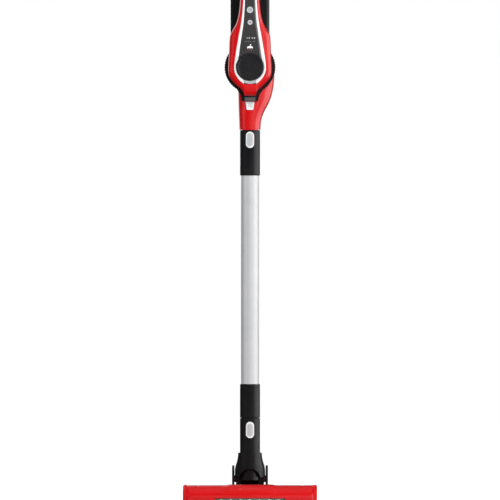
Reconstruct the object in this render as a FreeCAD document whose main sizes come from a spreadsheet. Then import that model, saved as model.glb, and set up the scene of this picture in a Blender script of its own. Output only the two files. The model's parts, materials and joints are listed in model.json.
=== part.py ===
import FreeCAD, Part
import math
import os
import Sketcher
from FreeCAD import Placement, Rotation, Vector

"""Cordless stick vacuum, in millimetres.

The wand is upright on +Z, the display side faces -Y, and the floor is Z = 0. The origin is on the floor,
on the wand's axis. The chain runs floor head, elbow, neck, wand, dust container, hand unit, battery.
"""

# Every driving size, by group. Heights are above the floor.
SIZES = {
    # wand and its two push-fit joints
    "tube_radius": 18.0, "tube_wall": 1.5, "collar_radius": 20.0,
    "socket_radius": 16.0, "spigot_radius": 15.8, "air_radius": 13.8, "key_flat": 15.2,
    "neck_foot": 92.0, "neck_top": 188.0, "lower_collar_top": 256.0,
    "upper_collar_foot": 672.8, "upper_collar_top": 763.6, "seam_gap": 0.4,
    "lower_button_height": 164.2, "upper_button_height": 744.3,
    "button_width": 16.4, "button_length": 32.8, "button_play": 0.4,
    # elbow and pitch pivot
    "pivot_back": 32.0, "pivot_height": 66.0, "pivot_pin_radius": 6.95, "pivot_bore_radius": 7.0,
    "drum_radius": 23.0, "drum_half": 28.0, "tower_radius": 17.5, "skirt_top": 118.6,
    "ear_inside": 31.2, "ear_outside": 36.0, "ear_radius": 27.0,
    # floor head
    "head_half_width": 134.0, "cover_half_width": 126.0, "head_front": -118.0, "cover_front": -115.0,
    "head_rear": -6.0, "head_top": 56.0, "shell_wall": 2.2, "floor_gap": 3.0,
    "roller_back": -84.0, "roller_height": 24.5, "bristle_radius": 22.5, "core_radius": 14.0,
    "chamber_radius": 25.0, "roller_shaft_radius": 4.0, "roller_pulley_radius": 12.0,
    "pinion_radius": 6.0, "pinion_back": -34.0, "pinion_height": 30.0, "belt_thickness": 1.3,
    "wheel_radius": 16.0, "wheel_back": 52.0, "wheel_inside": 38.0, "wheel_outside": 50.0,
    "axle_radius": 2.5, "running_gap": 0.05,
    # dust container and filter, on an axis along Y
    "motor_height": 888.8, "container_radius": 47.0, "container_wall": 2.0,
    "container_front": -12.0, "container_rear": 73.0, "lid_rear": 78.0, "ring_radius": 51.0,
    "ring_front": -36.0, "ring_rear": -13.0, "screen_radius": 38.2, "hinge_height": 941.0,
    "hinge_back": 76.0, "nose_wall": 2.4,
    # hand unit
    "shell_front": -79.0, "shell_rear": -46.0, "housing_radius": 39.5, "flange_radius": 50.0,
    "housing_rear": -36.5, "cap_radius": 27.3, "cap_front": -85.0, "panel_front": -80.6,
    "bay_half_width": 39.0, "bay_front": 50.0, "bay_rear": 70.0, "bay_foot": 950.0, "bay_top": 1090.0,
    "battery_rear": 118.0, "battery_foot": 956.0, "battery_top": 1082.0, "battery_wall": 3.0,
    "cell_radius": 10.4, "cell_length": 70.0, "grip_half_width": 15.5, "jack_radius": 2.75,
    "power_button_height": 1003.0, "mode_button_height": 978.0,
    "power_button_radius": 6.4, "mode_button_radius": 4.9,
}

doc = FreeCAD.newDocument("StickVacuum")
sheet = doc.addObject("Spreadsheet::Sheet", "Sizes")
for row, (alias, number) in enumerate(SIZES.items(), start=1):
    sheet.set(f"A{row}", alias)
    sheet.set(f"B{row}", str(number))
    sheet.setAlias(f"B{row}", alias)
doc.recompute()

nodes = {}


class Size:
    """A length that carries its sheet expression beside its value."""

    def __init__(self, text, value):
        self.text = text
        self.value = value

    def _with(self, other, sign, value):
        return Size(f"({self.text} {sign} {text_of(other)})", value)

    def __add__(self, other):
        return self._with(other, "+", self.value + value_of(other))

    def __sub__(self, other):
        return self._with(other, "-", self.value - value_of(other))

    def __mul__(self, other):
        return self._with(other, "*", self.value * value_of(other))

    def __rsub__(self, other):
        return Size(f"({text_of(other)} - {self.text})", value_of(other) - self.value)

    def __neg__(self):
        return Size(f"(-1 * {self.text})", -self.value)

    __radd__ = __add__
    __rmul__ = __mul__


def text_of(size):
    """An expression for a length, bound or plain."""
    return size.text if isinstance(size, Size) else repr(float(size))


def value_of(size):
    """The number behind a length, bound or plain."""
    return size.value if isinstance(size, Size) else float(size)


def S(alias):
    """The named size from the sheet."""
    return Size(f"Sizes.{alias}", float(sheet.get(alias)))


def bind(thing, path, size):
    """Drives one property of a document object from the sheet."""
    if isinstance(size, Size):
        thing.setExpression(path, size.text)


TURNS = {
    "X": Rotation(Vector(0, 1, 0), 90),
    "Y": Rotation(Vector(1, 0, 0), -90),
    "Z": Rotation(),
}


def place(thing, x=0, y=0, z=0, axis="Z"):
    """Puts an object's own origin at a point, with its own Z along the named axis."""
    base = Vector(value_of(x), value_of(y), value_of(z))
    thing.Placement = Placement(base, TURNS[axis])
    for letter, size in zip("xyz", (x, y, z)):
        bind(thing, f"Placement.Base.{letter}", size)
    return thing


def box(x, y, z):
    """A box from three (low, high) pairs."""
    made = doc.addObject("Part::Box", "Block")
    for prop, (low, high) in zip(("Length", "Width", "Height"), (x, y, z)):
        span = high - low
        setattr(made, prop, value_of(span))
        bind(made, prop, span)
    return place(made, x[0], y[0], z[0])


def rod(radius, span, axis="Z", x=0, y=0, z=0):
    """A cylinder along an axis, from span[0] to span[1] on that axis; x, y and z give its other two places."""
    low, high = span
    made = doc.addObject("Part::Cylinder", "Rod")
    length = high - low
    made.Radius = value_of(radius)
    made.Height = value_of(length)
    bind(made, "Radius", radius)
    bind(made, "Height", length)
    at = {"X": (low, y, z), "Y": (x, low, z), "Z": (x, y, low)}[axis]
    return place(made, *at, axis=axis)


def fuse(*things):
    made = doc.addObject("Part::MultiFuse", "Joined")
    made.Shapes = list(things)
    return made


def cut(base, *tools):
    made = doc.addObject("Part::Cut", "Cut")
    made.Base = base
    made.Tool = tools[0] if len(tools) == 1 else fuse(*tools)
    return made


def common(first, second):
    made = doc.addObject("Part::Common", "Shared")
    made.Base = first
    made.Tool = second
    return made


def shaped(shape, name="Shape"):
    """A feature for a form that neither sketches nor primitives make."""
    made = doc.addObject("Part::Feature", name)
    made.Shape = shape
    return made


def rounded(thing, radius, chosen):
    """Fillets the edges that a test picks."""
    doc.recompute()
    numbers = [n for n, edge in enumerate(thing.Shape.Edges, start=1) if chosen(edge)]
    made = doc.addObject("Part::Fillet", "Rounded")
    made.Base = thing
    made.Edges = [(n, radius, radius) for n in numbers]
    return made


def node(label, thing):
    """Registers a finished sub-part under the name of its file."""
    thing.Label = label
    nodes[label] = thing
    return thing


def origin_plane(body, role):
    return next(f for f in body.Origin.OriginFeatures if f.Role == role)


def sketch_loop(sketch, points):
    """Closed loop of lines whose corners are all bound to the sheet."""
    first = len(sketch.Geometry)
    count = len(points)
    corners = [Vector(value_of(a), value_of(b), 0) for a, b in points]
    for n in range(count):
        sketch.addGeometry(Part.LineSegment(corners[n], corners[(n + 1) % count]))
    for n in range(count):
        sketch.addConstraint(Sketcher.Constraint("Coincident", first + n, 2, first + (n + 1) % count, 1))
    for n, (a, b) in enumerate(points):
        for kind, size in (("DistanceX", a), ("DistanceY", b)):
            number = sketch.addConstraint(Sketcher.Constraint(kind, -1, 1, first + n, 1, value_of(size)))
            if isinstance(size, Size):
                sketch.setExpression(f"Constraints[{number}]", size.text)


def body_with_sketch(points, role):
    body = doc.addObject("PartDesign::Body", "Body")
    sketch = body.newObject("Sketcher::SketchObject", "Profile")
    sketch.AttachmentSupport = (origin_plane(body, role), [""])
    sketch.MapMode = "FlatFace"
    sketch_loop(sketch, points)
    doc.recompute()
    return body, sketch


def turned(points, axis="Z", x=0, y=0, z=0):
    """A body turned about its own Z from (radius, height) corners, then laid along an axis."""
    body, sketch = body_with_sketch(points, "XZ_Plane")
    feature = body.newObject("PartDesign::Revolution", "Turn")
    feature.Profile = sketch
    feature.ReferenceAxis = (sketch, ["V_Axis"])
    feature.Angle = 360
    return place(body, x, y, z, axis)


def padded(points, depth, x=0):
    """A body padded along +X from corners given as (y, z), starting at the given x."""
    body, sketch = body_with_sketch(points, "YZ_Plane")
    feature = body.newObject("PartDesign::Pad", "Pad")
    feature.Profile = sketch
    feature.Length = value_of(depth)
    bind(feature, "Length", depth)
    return place(body, x, 0, 0)


def mirrored(thing):
    """The same piece on the other side of the X = 0 plane."""
    made = doc.addObject("Part::Mirroring", "Mirrored")
    made.Source = thing
    made.Normal = Vector(1, 0, 0)
    return made


def spline_wire(points, closed=True):
    curve = Part.BSplineCurve()
    curve.interpolate(points, PeriodicFlag=closed)
    return Part.Wire(curve.toShape())


def oval(left, right, front, rear, height, power=2.0, count=20):
    """A closed smooth ring at one height: an ellipse at power 2, squarer above."""
    middle = Vector((left + right) / 2, (front + rear) / 2, height)
    half_x, half_y = (right - left) / 2, (rear - front) / 2
    points = []
    for n in range(count):
        angle = 2 * math.pi * n / count
        c, s = math.cos(angle), math.sin(angle)
        points.append(middle + Vector(
            half_x * math.copysign(abs(c) ** (2 / power), c),
            half_y * math.copysign(abs(s) ** (2 / power), s), 0))
    return spline_wire(points)


def loft(rings):
    return Part.makeLoft(rings, True, False)


def star_prism(outer, inner, teeth, low, high, centre_height):
    """A ribbed prism along Y: a ring of teeth between two radii."""
    points = []
    for n in range(2 * teeth):
        radius = outer if n % 2 == 0 else inner
        angle = math.pi * n / teeth
        points.append(Vector(radius * math.cos(angle), low, centre_height + radius * math.sin(angle)))
    face = Part.Face(Part.makePolygon(points + points[:1]))
    return face.extrude(Vector(0, high - low, 0))


def outline_prism(half, low, high):
    """A prism along Y from a half outline of (x, z) points, mirrored about X = 0, smooth up each side."""
    right = [Vector(x, low, z) for x, z in half]
    left = [Vector(-p.x, p.y, p.z) for p in right]
    edges = []
    for side in (right, left[::-1]):
        curve = Part.BSplineCurve()
        curve.interpolate(side)
        edges.append(curve.toShape())
    edges.append(Part.makeLine(right[-1], left[-1]))
    edges.append(Part.makeLine(left[0], right[0]))
    face = Part.Face(Part.Wire(Part.__sortEdges__(edges)))
    return face.extrude(Vector(0, high - low, 0))


def obround(width, length, low, high, height):
    """An upright obround prism along Y, centred on x = 0 at a height."""
    radius, reach = width / 2, (length - width) / 2
    top, foot = height + reach, height - reach
    a, b = Vector(-radius, low, foot), Vector(-radius, low, top)
    c, d = Vector(radius, low, top), Vector(radius, low, foot)
    wire = Part.Wire([
        Part.makeLine(a, b), Part.Arc(b, Vector(0, low, top + radius), c).toShape(),
        Part.makeLine(c, d), Part.Arc(d, Vector(0, low, foot - radius), a).toShape()])
    return Part.Face(wire).extrude(Vector(0, high - low, 0))


# ---------------------------------------------------------------- floor head

def head_outline(inset):
    """The head's side outline as (y, z) corners, inset from the outer skin."""
    front, rear, top = S("cover_front") + inset, S("head_rear") - inset, S("head_top") - inset
    foot = 8.0
    return [(front, foot), (front, 36.0), (front + 9.0, 47.0 - inset), (front + 24.0, top),
            (rear - 34.0, top), (rear - 6.0, 47.0 - inset), (rear, 40.0 - inset), (rear, foot)]


def runs_along_x(edge):
    return edge.Curve.TypeId == "Part::GeomLine" and abs(edge.tangentAt(edge.FirstParameter).x) > 0.99


# where the cover's screws stand, as (x, y)
SCREW_PLACES = [(50.0, -30.0), (108.0, -30.0), (-108.0, -14.0)]


def make_head_cover():
    """Top cover: an open-ended shell with screw bosses, a headlight slot and a notch for the air duct."""
    half, wall = S("cover_half_width"), S("shell_wall")
    front, rear = S("cover_front"), S("head_rear")
    outer = rounded(padded(head_outline(0.0), half * 2, -half), 6.0,
                    lambda e: runs_along_x(e) and e.CenterOfMass.z > 20)
    inner = padded(head_outline(wall), half * 2 + 2, -half - 1)
    bosses = [rod(4.0, (8.2, 60.0), x=x, y=y) for x, y in SCREW_PLACES]
    threads = [rod(1.5, (8.0, 15.0), x=x, y=y) for x, y in SCREW_PLACES]
    lower_edge = box((-half - 1, half + 1), (front + wall, rear - wall), (7.0, 9.0))
    lens_slot = box((-70.0, 70.0), (front - 1, front + 3), (20.0, 29.0))
    duct_notch = box((-36.3, 36.3), (rear - 3.2, rear + 1), (7.0, 38.3))
    node("head_cover", cut(outer, cut(inner, *bosses), lower_edge, lens_slot, duct_notch, *threads))


def ear_outline():
    """Side outline of a pivot ear below its round top."""
    back, height, radius = S("pivot_back"), S("pivot_height"), S("ear_radius")
    return [(-5.6, 5.0), (62.0, 5.0), (64.0, 20.0), (back + radius - 0.6, height + 5.0),
            (back - radius + 0.6, height + 5.0), (-5.6, 38.0)]


def make_ear():
    """One pivot ear of the head, on the +X side, with softened outer edges."""
    inside, outside = S("ear_inside"), S("ear_outside")
    plate = fuse(padded(ear_outline(), outside - inside, inside),
                 rod(S("ear_radius"), (inside, outside), "X", y=S("pivot_back"), z=S("pivot_height")))
    doc.recompute()
    plate.Refine = True
    return rounded(plate, 1.6, lambda e: abs(e.CenterOfMass.x - 36.0) < 0.05 and e.CenterOfMass.z > 8)


def make_head_base():
    """Sole plate with the suction slot, roller chamber, air duct, rear carriage and the pivot ears."""
    half = S("cover_half_width") - 2.6
    front, rear = S("cover_front") + 2.6, S("head_rear") - 2.6
    foot = S("floor_gap")
    y, z = S("roller_back"), S("roller_height")
    pivot_y, pivot_z = S("pivot_back"), S("pivot_height")
    sole = box((-half, half), (front, rear), (foot, 8.0))
    slot = box((-112.0, 112.0), (-106.0, -62.0), (foot - 1, 9.0))
    wall_outline = [(-109.0, 8.0), (-59.0, 8.0), (-59.0, 46.0), (-98.0, 46.0), (-109.0, 36.0)]
    walls = [padded(wall_outline, 4.0, x) for x in (-118.0, 114.0)]
    roof = cut(rod(S("chamber_radius") + 1.5, (-114.0, 114.0), "X", y=y, z=z),
               box((-116.0, 116.0), (-115.0, -50.0), (-5.0, 8.0)))
    duct = padded([(-62.0, 12.0), (22.0, 12.0), (22.0, 56.0), (2.0, 56.0), (-4.0, 37.6), (-11.0, 37.6),
                   (-18.0, 43.5), (-42.0, 52.5), (-62.0, 52.5)], 48.0, -24.0)
    duct_room = padded([(-66.0, 14.5), (19.5, 14.5), (19.5, 53.5), (4.2, 53.5), (-2.4, 35.2), (-12.0, 35.2),
                        (-19.0, 41.0), (-42.0, 50.0), (-66.0, 50.0)], 43.0, -21.5)
    ear = make_ear()
    web = box((23.0, 36.0), (-12.0, -5.0), (5.0, 38.0))
    carriage = box((-32.0, 32.0), (-9.0, 46.0), (5.0, 8.0))
    duct_foot = box((-24.0, 24.0), (-60.0, 22.0), (7.0, 13.0))
    solid = fuse(sole, *walls, roof, duct, duct_foot, ear, mirrored(ear), web, mirrored(web), carriage)
    bores = [
        rod(S("drum_radius") + 0.5, (-30.0, 30.0), "X", y=pivot_y, z=pivot_z),
        rod(S("chamber_radius"), (-114.0, 114.0), "X", y=y, z=z),
        rod(S("pivot_bore_radius"), (-40.0, 40.0), "X", y=pivot_y, z=pivot_z),
        rod(S("axle_radius"), (-40.0, 40.0), "X", y=S("wheel_back"), z=S("wheel_radius")),
        rod(S("roller_shaft_radius") + S("running_gap"), (-119.0, -113.0), "X", y=y, z=z),
        rod(8.0 + S("running_gap"), (113.0, 119.0), "X", y=y, z=z),
    ]
    for x, place_y in SCREW_PLACES:
        bores.append(rod(1.6, (foot - 1, 9.0), x=x, y=place_y))
        bores.append(rod(3.3, (foot - 1, 6.0), x=x, y=place_y))
    node("head_base", cut(solid, slot, duct_room, *bores))


def make_head_details():
    """Bumper, headlight, side covers, glides, lip, screws, axle pins, brush motor and belt."""
    front = S("cover_front")
    strip = box((-122.0, 122.0), (S("head_front"), front - 0.1), (9.0, 17.0))
    node("front_bumper", rounded(strip, 1.2, lambda e: e.CenterOfMass.y < -117.5))
    lens = box((-69.8, 69.8), (front - 0.6, front + 2.2), (20.2, 28.8))
    node("headlight_lens", rounded(lens, 0.5, lambda e: e.CenterOfMass.y < -115.5))
    node("headlight_board", box((-66.0, 66.0), (front + 2.3, front + 3.8), (20.5, 28.5)))
    half, outer = S("cover_half_width") + 0.3, S("head_half_width")
    for side, label in ((-1, "belt_cover"), (1, "side_cover")):
        plate = padded(head_outline(0.8), outer - half, half)
        plate = rounded(rounded(plate, 5.0, lambda e: runs_along_x(e)), 3.5,
                        lambda e: e.CenterOfMass.x > 133.9)
        if side < 0:
            plate = mirrored(plate)
        else:
            plate = cut(plate, rod(15.8, (half - 1, outer + 1), "X", y=S("roller_back"),
                                   z=S("roller_height")))
        node(label, plate)
    pads = [box((x - 12, x + 12), (y - 3, y + 3), (0.0, S("floor_gap")))
            for x, y in ((-90.0, -109.5), (90.0, -109.5), (-60.0, -40.0), (60.0, -40.0))]
    node("glide_pads", shaped(Part.makeCompound([solid_of(p) for p in pads])))
    node("floor_lip", box((-112.0, 112.0), (-61.0, -58.0), (0.8, S("floor_gap"))))
    screws = [solid_of(fuse(rod(3.2, (4.2, 6.0), x=x, y=y), rod(1.5, (6.0, 14.0), x=x, y=y)))
              for x, y in SCREW_PLACES]
    node("head_screws", shaped(Part.makeCompound(screws)))
    pin = turned([(0.0, S("ear_inside")), (S("axle_radius"), S("ear_inside")),
                  (S("axle_radius"), S("wheel_outside") + 0.4), (3.8, S("wheel_outside") + 0.4),
                  (3.8, S("wheel_outside") + 2.0), (0.0, S("wheel_outside") + 2.0)],
                 "X", 0, S("wheel_back"), S("wheel_radius"))
    node("axle_pins", shaped(Part.makeCompound([solid_of(pin), solid_of(mirrored(pin))])))
    y, z = S("pinion_back"), S("pinion_height")
    can = cut(rod(15.0, (-92.0, -28.0), "X", y=y, z=z), rod(12.6, (-89.0, -31.0), "X", y=y, z=z),
              rod(2.1, (-93.0, -88.0), "X", y=y, z=z))
    feet = [box((x, x + 5.0), (y - 10.0, y + 10.0), (8.0, z)) for x in (-84.0, -44.0)]
    node("brush_motor", fuse(can, *[cut(foot, rod(14.5, (-90.0, -30.0), "X", y=y, z=z)) for foot in feet]))


def solid_of(thing):
    """The plain solid of an object, once it is up to date."""
    doc.recompute()
    return thing.Shape.copy()


def make_belt():
    """Flat loop round the motor pinion and the roller pulley."""
    y0, z0, r0 = value_of(S("pinion_back")), value_of(S("pinion_height")), value_of(S("pinion_radius"))
    y1, z1, r1 = value_of(S("roller_back")), value_of(S("roller_height")), value_of(S("roller_pulley_radius"))

    def loop(extra):
        reach = math.hypot(y1 - y0, z1 - z0)
        heading = math.atan2(z1 - z0, y1 - y0)
        lean = math.acos((r0 - r1) / reach)
        corner = {}
        for side in (1, -1):
            angle = heading + side * lean
            direction = Vector(0, math.cos(angle), math.sin(angle))
            corner[side] = (Vector(0, y0, z0) + direction * (r0 + extra),
                            Vector(0, y1, z1) + direction * (r1 + extra))
        ahead = Vector(0, math.cos(heading), math.sin(heading))
        near, far = Vector(0, y0, z0) - ahead * (r0 + extra), Vector(0, y1, z1) + ahead * (r1 + extra)
        wire = Part.Wire([
            Part.makeLine(corner[1][0], corner[1][1]), Part.Arc(corner[1][1], far, corner[-1][1]).toShape(),
            Part.makeLine(corner[-1][1], corner[-1][0]), Part.Arc(corner[-1][0], near, corner[1][0]).toShape()])
        return Part.Face(wire)

    gap, thick = 0.1, value_of(S("belt_thickness"))
    band = loop(gap + thick).extrude(Vector(4.6, 0, 0)).cut(loop(gap).extrude(Vector(4.6, 0, 0)))
    band.translate(Vector(-124.6, 0, 0))
    node("drive_belt", shaped(band))


def make_roller():
    """Brush roller: core on its shaft, helical bristle strips, driven pulley, and its end lock."""
    y, z = S("roller_back"), S("roller_height")
    shaft, core = S("roller_shaft_radius"), S("core_radius")
    node("roller_core", turned([(0.0, -126.0), (shaft, -126.0), (shaft, -112.0), (core, -112.0),
                                (core, 112.0), (shaft, 112.0), (shaft, 122.0), (0.0, 122.0)], "X", 0, y, z))
    node("roller_pulley", cut(rod(S("roller_pulley_radius"), (-125.0, -119.4), "X", y=y, z=z),
                              rod(shaft, (-126.0, -118.0), "X", y=y, z=z)))
    inner, tip = value_of(core) + 0.04, value_of(S("bristle_radius"))
    strips = []
    for n in range(4):
        for side in (-1, 1):
            rings = []
            for step in range(6):
                share = step / 5
                angle = math.pi / 2 * n + math.radians(80) * share
                out = Vector(0, math.cos(angle), math.sin(angle))
                along = Vector(0, -math.sin(angle), math.cos(angle))
                at = Vector(side * (2 + 106 * share), value_of(y), value_of(z))
                corners = [at + out * inner - along * 2, at + out * tip - along * 1.4,
                           at + out * tip + along * 1.4, at + out * inner + along * 2]
                rings.append(Part.makePolygon(corners + corners[:1]))
            strips.append(loft(rings))
    node("roller_bristles", shaped(Part.makeCompound(strips)))
    knob = turned([(shaft + S("running_gap"), 114.2), (8.0, 114.2), (8.0, 126.6), (15.2, 126.6), (15.2, 132.6),
                   (14.0, 133.8), (0.0, 133.8), (0.0, 124.0), (shaft + S("running_gap"), 124.0)], "X", 0, y, z)
    scoops = [box((131.4, 135.0), (y + low, y + high), (z - 9.5, z + 9.5))
              for low, high in ((-8.5, -2.5), (2.5, 8.5))]
    node("roller_lock", cut(knob, *scoops))
    y, z = S("pinion_back"), S("pinion_height")
    node("brush_motor_rotor", turned([(0.0, -125.0), (S("pinion_radius"), -125.0), (S("pinion_radius"), -119.4),
                                      (2.0, -119.4), (2.0, -86.0), (11.5, -86.0), (11.5, -34.0), (0.0, -34.0)],
                                     "X", 0, y, z))


def make_wheels():
    """Rear wheels: a hub with spoke recess and a rounded tread, on plain axle pins."""
    inside, outside, radius = S("wheel_inside"), S("wheel_outside"), S("wheel_radius")
    bore = S("axle_radius") + S("running_gap")
    profile = [(bore, inside), (radius - 1.5, inside), (radius, inside + 1.5), (radius, outside - 1.5),
               (radius - 1.5, outside), (radius - 4.0, outside), (radius - 5.0, outside - 2.0),
               (bore + 3.0, outside - 2.0), (bore + 2.2, outside), (bore, outside)]
    wheel = turned(profile, "X", 0, S("wheel_back"), radius)
    node("wheel_right", wheel)
    node("wheel_left", mirrored(wheel))


# ---------------------------------------------------------------- elbow and neck

def make_elbow():
    """Pitching knuckle with its air duct, flared skirt and pivot pins."""
    back, height = S("pivot_back"), S("pivot_height")
    drum = rod(S("drum_radius"), (-S("drum_half"), S("drum_half")), "X", y=back, z=height)
    tower = rod(S("tower_radius"), (64.0, 112.0))
    bridge = box((-17.5, 17.5), (0.0, 32.0), (64.0, 84.0))
    passage = box((-13.0, 13.0), (0.0, 26.0), (67.0, 80.0))
    air = rod(S("air_radius"), (66.0, 113.0))
    chamber = rod(17.0, (-20.0, 20.0), "X", y=back, z=height)
    mouth = padded([(7.0, 36.0), (32.0, 36.0), (32.0, 62.0), (7.0, 62.0)], 34.0, -17.0)
    pin_holes = rod(S("pivot_pin_radius"), (-30.0, 30.0), "X", y=back, z=height)
    node("elbow_duct", cut(fuse(drum, tower, bridge), air, passage, chamber, mouth, pin_holes))
    pins = [rod(S("pivot_pin_radius"), span, "X", y=back, z=height)
            for span in ((20.0, S("ear_outside")), (-S("ear_outside"), -20.0))]
    node("pivot_pins", shaped(Part.makeCompound([solid_of(p) for p in pins])))
    rings = [(118.6, 0.0, 23.7, 23.7), (112.0, 0.7, 24.1, 24.9), (104.0, 4.2, 25.4, 28.8),
             (95.0, 9.8, 28.0, 34.6), (86.0, 14.0, 30.0, 38.8), (74.0, 16.0, 30.4, 40.8)]

    def flare(inset, foot):
        wires = [oval(-rx + inset, rx - inset, y - ry + inset, y + ry - inset, z)
                 for z, y, rx, ry in rings if z > foot]
        wires.append(oval(-30.5 + inset, 30.5 - inset, -25.0 + inset, 57.6 - inset, foot))
        return loft(wires)

    outer = flare(0.0, 70.0)
    inner = flare(2.2, 69.0)
    lid = Part.makeBox(80, 120, 20, Vector(-40, -50, 112))
    arch = Part.makeCylinder(21.0, 60, Vector(0, -50, value_of(height)), Vector(0, 1, 0))
    bore = Part.makeCylinder(19.8, 20, Vector(0, 0, 105))
    knuckle = solid_of(fuse(drum, tower, bridge, *pins))
    node("elbow_skirt", shaped(outer.cut(inner.cut(lid)).cut(arch).cut(bore).cut(knuckle)))


def press_button(height, label):
    """Obround release button, curved to the collar, standing 0.9 mm proud."""
    width, length = value_of(S("button_width")), value_of(S("button_length"))
    prism = obround(width, length, -24.0, -17.2, value_of(height))
    shell = Part.makeCylinder(value_of(S("collar_radius")) + 0.9, 60, Vector(0, 0, value_of(height) - 30))
    button = prism.common(shell)
    front = [e for e in button.Edges if e.CenterOfMass.y < -19.0]
    return node(label, shaped(button.makeFillet(0.7, front)))


def window(height):
    """The hole in a collar for its button."""
    play = value_of(S("button_play"))
    return shaped(obround(value_of(S("button_width")) + 2 * play, value_of(S("button_length")) + 2 * play,
                          -24.0, -10.0, value_of(height)))


def leaf_spring(height, label):
    """Bowed steel strip behind a button."""
    z = value_of(height)
    outer = Part.Arc(Vector(0, -16.55, z - 13), Vector(0, -17.1, z), Vector(0, -16.55, z + 13)).toShape()
    inner = Part.Arc(Vector(0, -16.15, z + 13), Vector(0, -16.7, z), Vector(0, -16.15, z - 13)).toShape()
    ends = [Part.makeLine(Vector(0, -16.55, z + 13), Vector(0, -16.15, z + 13)),
            Part.makeLine(Vector(0, -16.15, z - 13), Vector(0, -16.55, z - 13))]
    strip = Part.Face(Part.Wire([outer, ends[0], inner, ends[1]])).extrude(Vector(5, 0, 0))
    strip.translate(Vector(-2.5, 0, 0))
    node(label, shaped(strip))


def make_neck():
    """Swivelling neck: socket for the wand above, running collar round the elbow's tower below."""
    out, sock, air = S("collar_radius"), S("socket_radius"), S("air_radius")
    foot, top = S("neck_foot"), S("neck_top")
    run = S("tower_radius") + S("running_gap")
    profile = [(run, foot), (21.2, foot), (21.2, foot + 2.5), (19.7, foot + 2.5), (19.7, 119.2), (out, 119.2),
               (out, top - 1.2), (out - 1.0, top), (sock, top), (sock, 124.0), (air, 124.0),
               (air, 113.0), (run, 113.0)]
    node("neck_tube", cut(turned(profile), window(S("lower_button_height"))))
    press_button(S("lower_button_height"), "neck_button")
    leaf_spring(S("lower_button_height"), "neck_spring")


# ---------------------------------------------------------------- wand

def spigot_flat(low, high):
    """Tool for the guide flat on the front of a spigot."""
    return box((-12.0, 12.0), (-18.0, -S("key_flat")), (low, high))


def make_wand():
    out, tube, sock = S("collar_radius"), S("tube_radius"), S("socket_radius")
    plug, air = S("spigot_radius"), S("air_radius")
    seat = tube + 0.05
    node("wand_tube", turned([(tube - S("tube_wall"), 200.5), (tube, 200.5), (tube, 697.5),
                              (tube - S("tube_wall"), 697.5)]))
    step, top = S("neck_top") + S("seam_gap"), S("lower_collar_top")
    lower = [(air, 126.5), (plug - 0.6, 126.5), (plug, 128.0), (plug, step), (out - 0.8, step),
             (out, step + 0.8), (out, top - 7.6), (out - 0.5, top - 7.2), (out - 0.5, top - 6.4),
             (out, top - 6.0), (out, top - 1.8), (out - 0.6, top - 0.5), (out - 1.4, top),
             (seat, top), (seat, 200.0), (air, 200.0)]
    node("wand_collar_lower", cut(turned(lower), spigot_flat(120.0, step)))
    foot, head = S("upper_collar_foot"), S("upper_collar_top")
    upper = [(seat, foot), (out - 1.4, foot), (out - 0.5, foot + 0.5), (out, foot + 1.8), (out, head - 0.8),
             (out - 0.8, head), (sock, head), (sock, 702.0), (air, 702.0), (air, 698.0), (seat, 698.0)]
    node("wand_collar_upper", cut(turned(upper), window(S("upper_button_height"))))
    press_button(S("upper_button_height"), "wand_button")
    leaf_spring(S("upper_button_height"), "wand_spring")


# ---------------------------------------------------------------- dust container

# (height, left, right, front, rear) of the inlet nose, from the wand joint up to the container's side
NOSE_RINGS = [
    (764.4, -21.0, 20.8, -21.0, 21.0), (775.0, -21.6, 21.4, -21.6, 21.6), (790.0, -22.2, 24.2, -22.2, 23.0),
    (805.0, -22.8, 30.8, -22.4, 25.5), (820.0, -23.2, 38.4, -22.4, 28.5), (835.0, -23.5, 43.6, -22.0, 31.5),
    (850.0, -23.8, 46.6, -20.0, 34.0), (866.0, -24.0, 48.2, -18.0, 36.0), (882.0, -24.0, 48.9, -16.0, 37.0),
]


def along_motor(radius, low, high):
    """A plain cylinder solid on the motor's axis."""
    return Part.makeCylinder(radius, high - low, Vector(0, low, value_of(S("motor_height"))), Vector(0, 1, 0))


def make_nose():
    """Inlet nose: a duct whose right side swells into the container's tangential inlet."""
    wall = value_of(S("nose_wall"))
    outer = loft([oval(left, right, front, rear, z, 2.3) for z, left, right, front, rear in NOSE_RINGS])
    inner = loft([oval(left + wall, right - wall, front + wall, rear - wall, z, 2.3)
                  for z, left, right, front, rear in [(766.0, *NOSE_RINGS[0][1:])] + NOSE_RINGS[1:]])
    body = outer.cut(inner)
    body = body.cut(along_motor(value_of(S("container_radius")) + 0.3, -13.0, 90.0))
    body = body.cut(along_motor(value_of(S("ring_radius")) + 0.6, -70.0, value_of(S("ring_rear")) + 0.5))
    floor = Part.makeCylinder(20.6, 2.4, Vector(0, 0, 764.4))
    spigot = Part.makeCylinder(value_of(S("spigot_radius")), 61.0, Vector(0, 0, 704.0))
    body = body.fuse(floor).fuse(spigot)
    body = body.cut(Part.makeCylinder(value_of(S("air_radius")), 70.0, Vector(0, 0, 700.0)))
    body = body.cut(Part.makeBox(24, 3, 60, Vector(-12, -value_of(S("key_flat")) - 3, 703.9)))
    body = max(body.Solids, key=lambda s: s.Volume)
    tab = Part.Face(Part.makePolygon([Vector(x, -24.6, z) for x, z in
                                      ((-6.4, 804.0), (6.4, 804.0), (9.0, 820.0), (-9.0, 820.0), (-6.4, 804.0))]))
    tab = tab.extrude(Vector(0, 6.0, 0)).cut(outer)
    node("inlet_nose", shaped(body))
    node("catch_tab", shaped(max(tab.Solids, key=lambda s: -s.CenterOfMass.y)))


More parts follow.
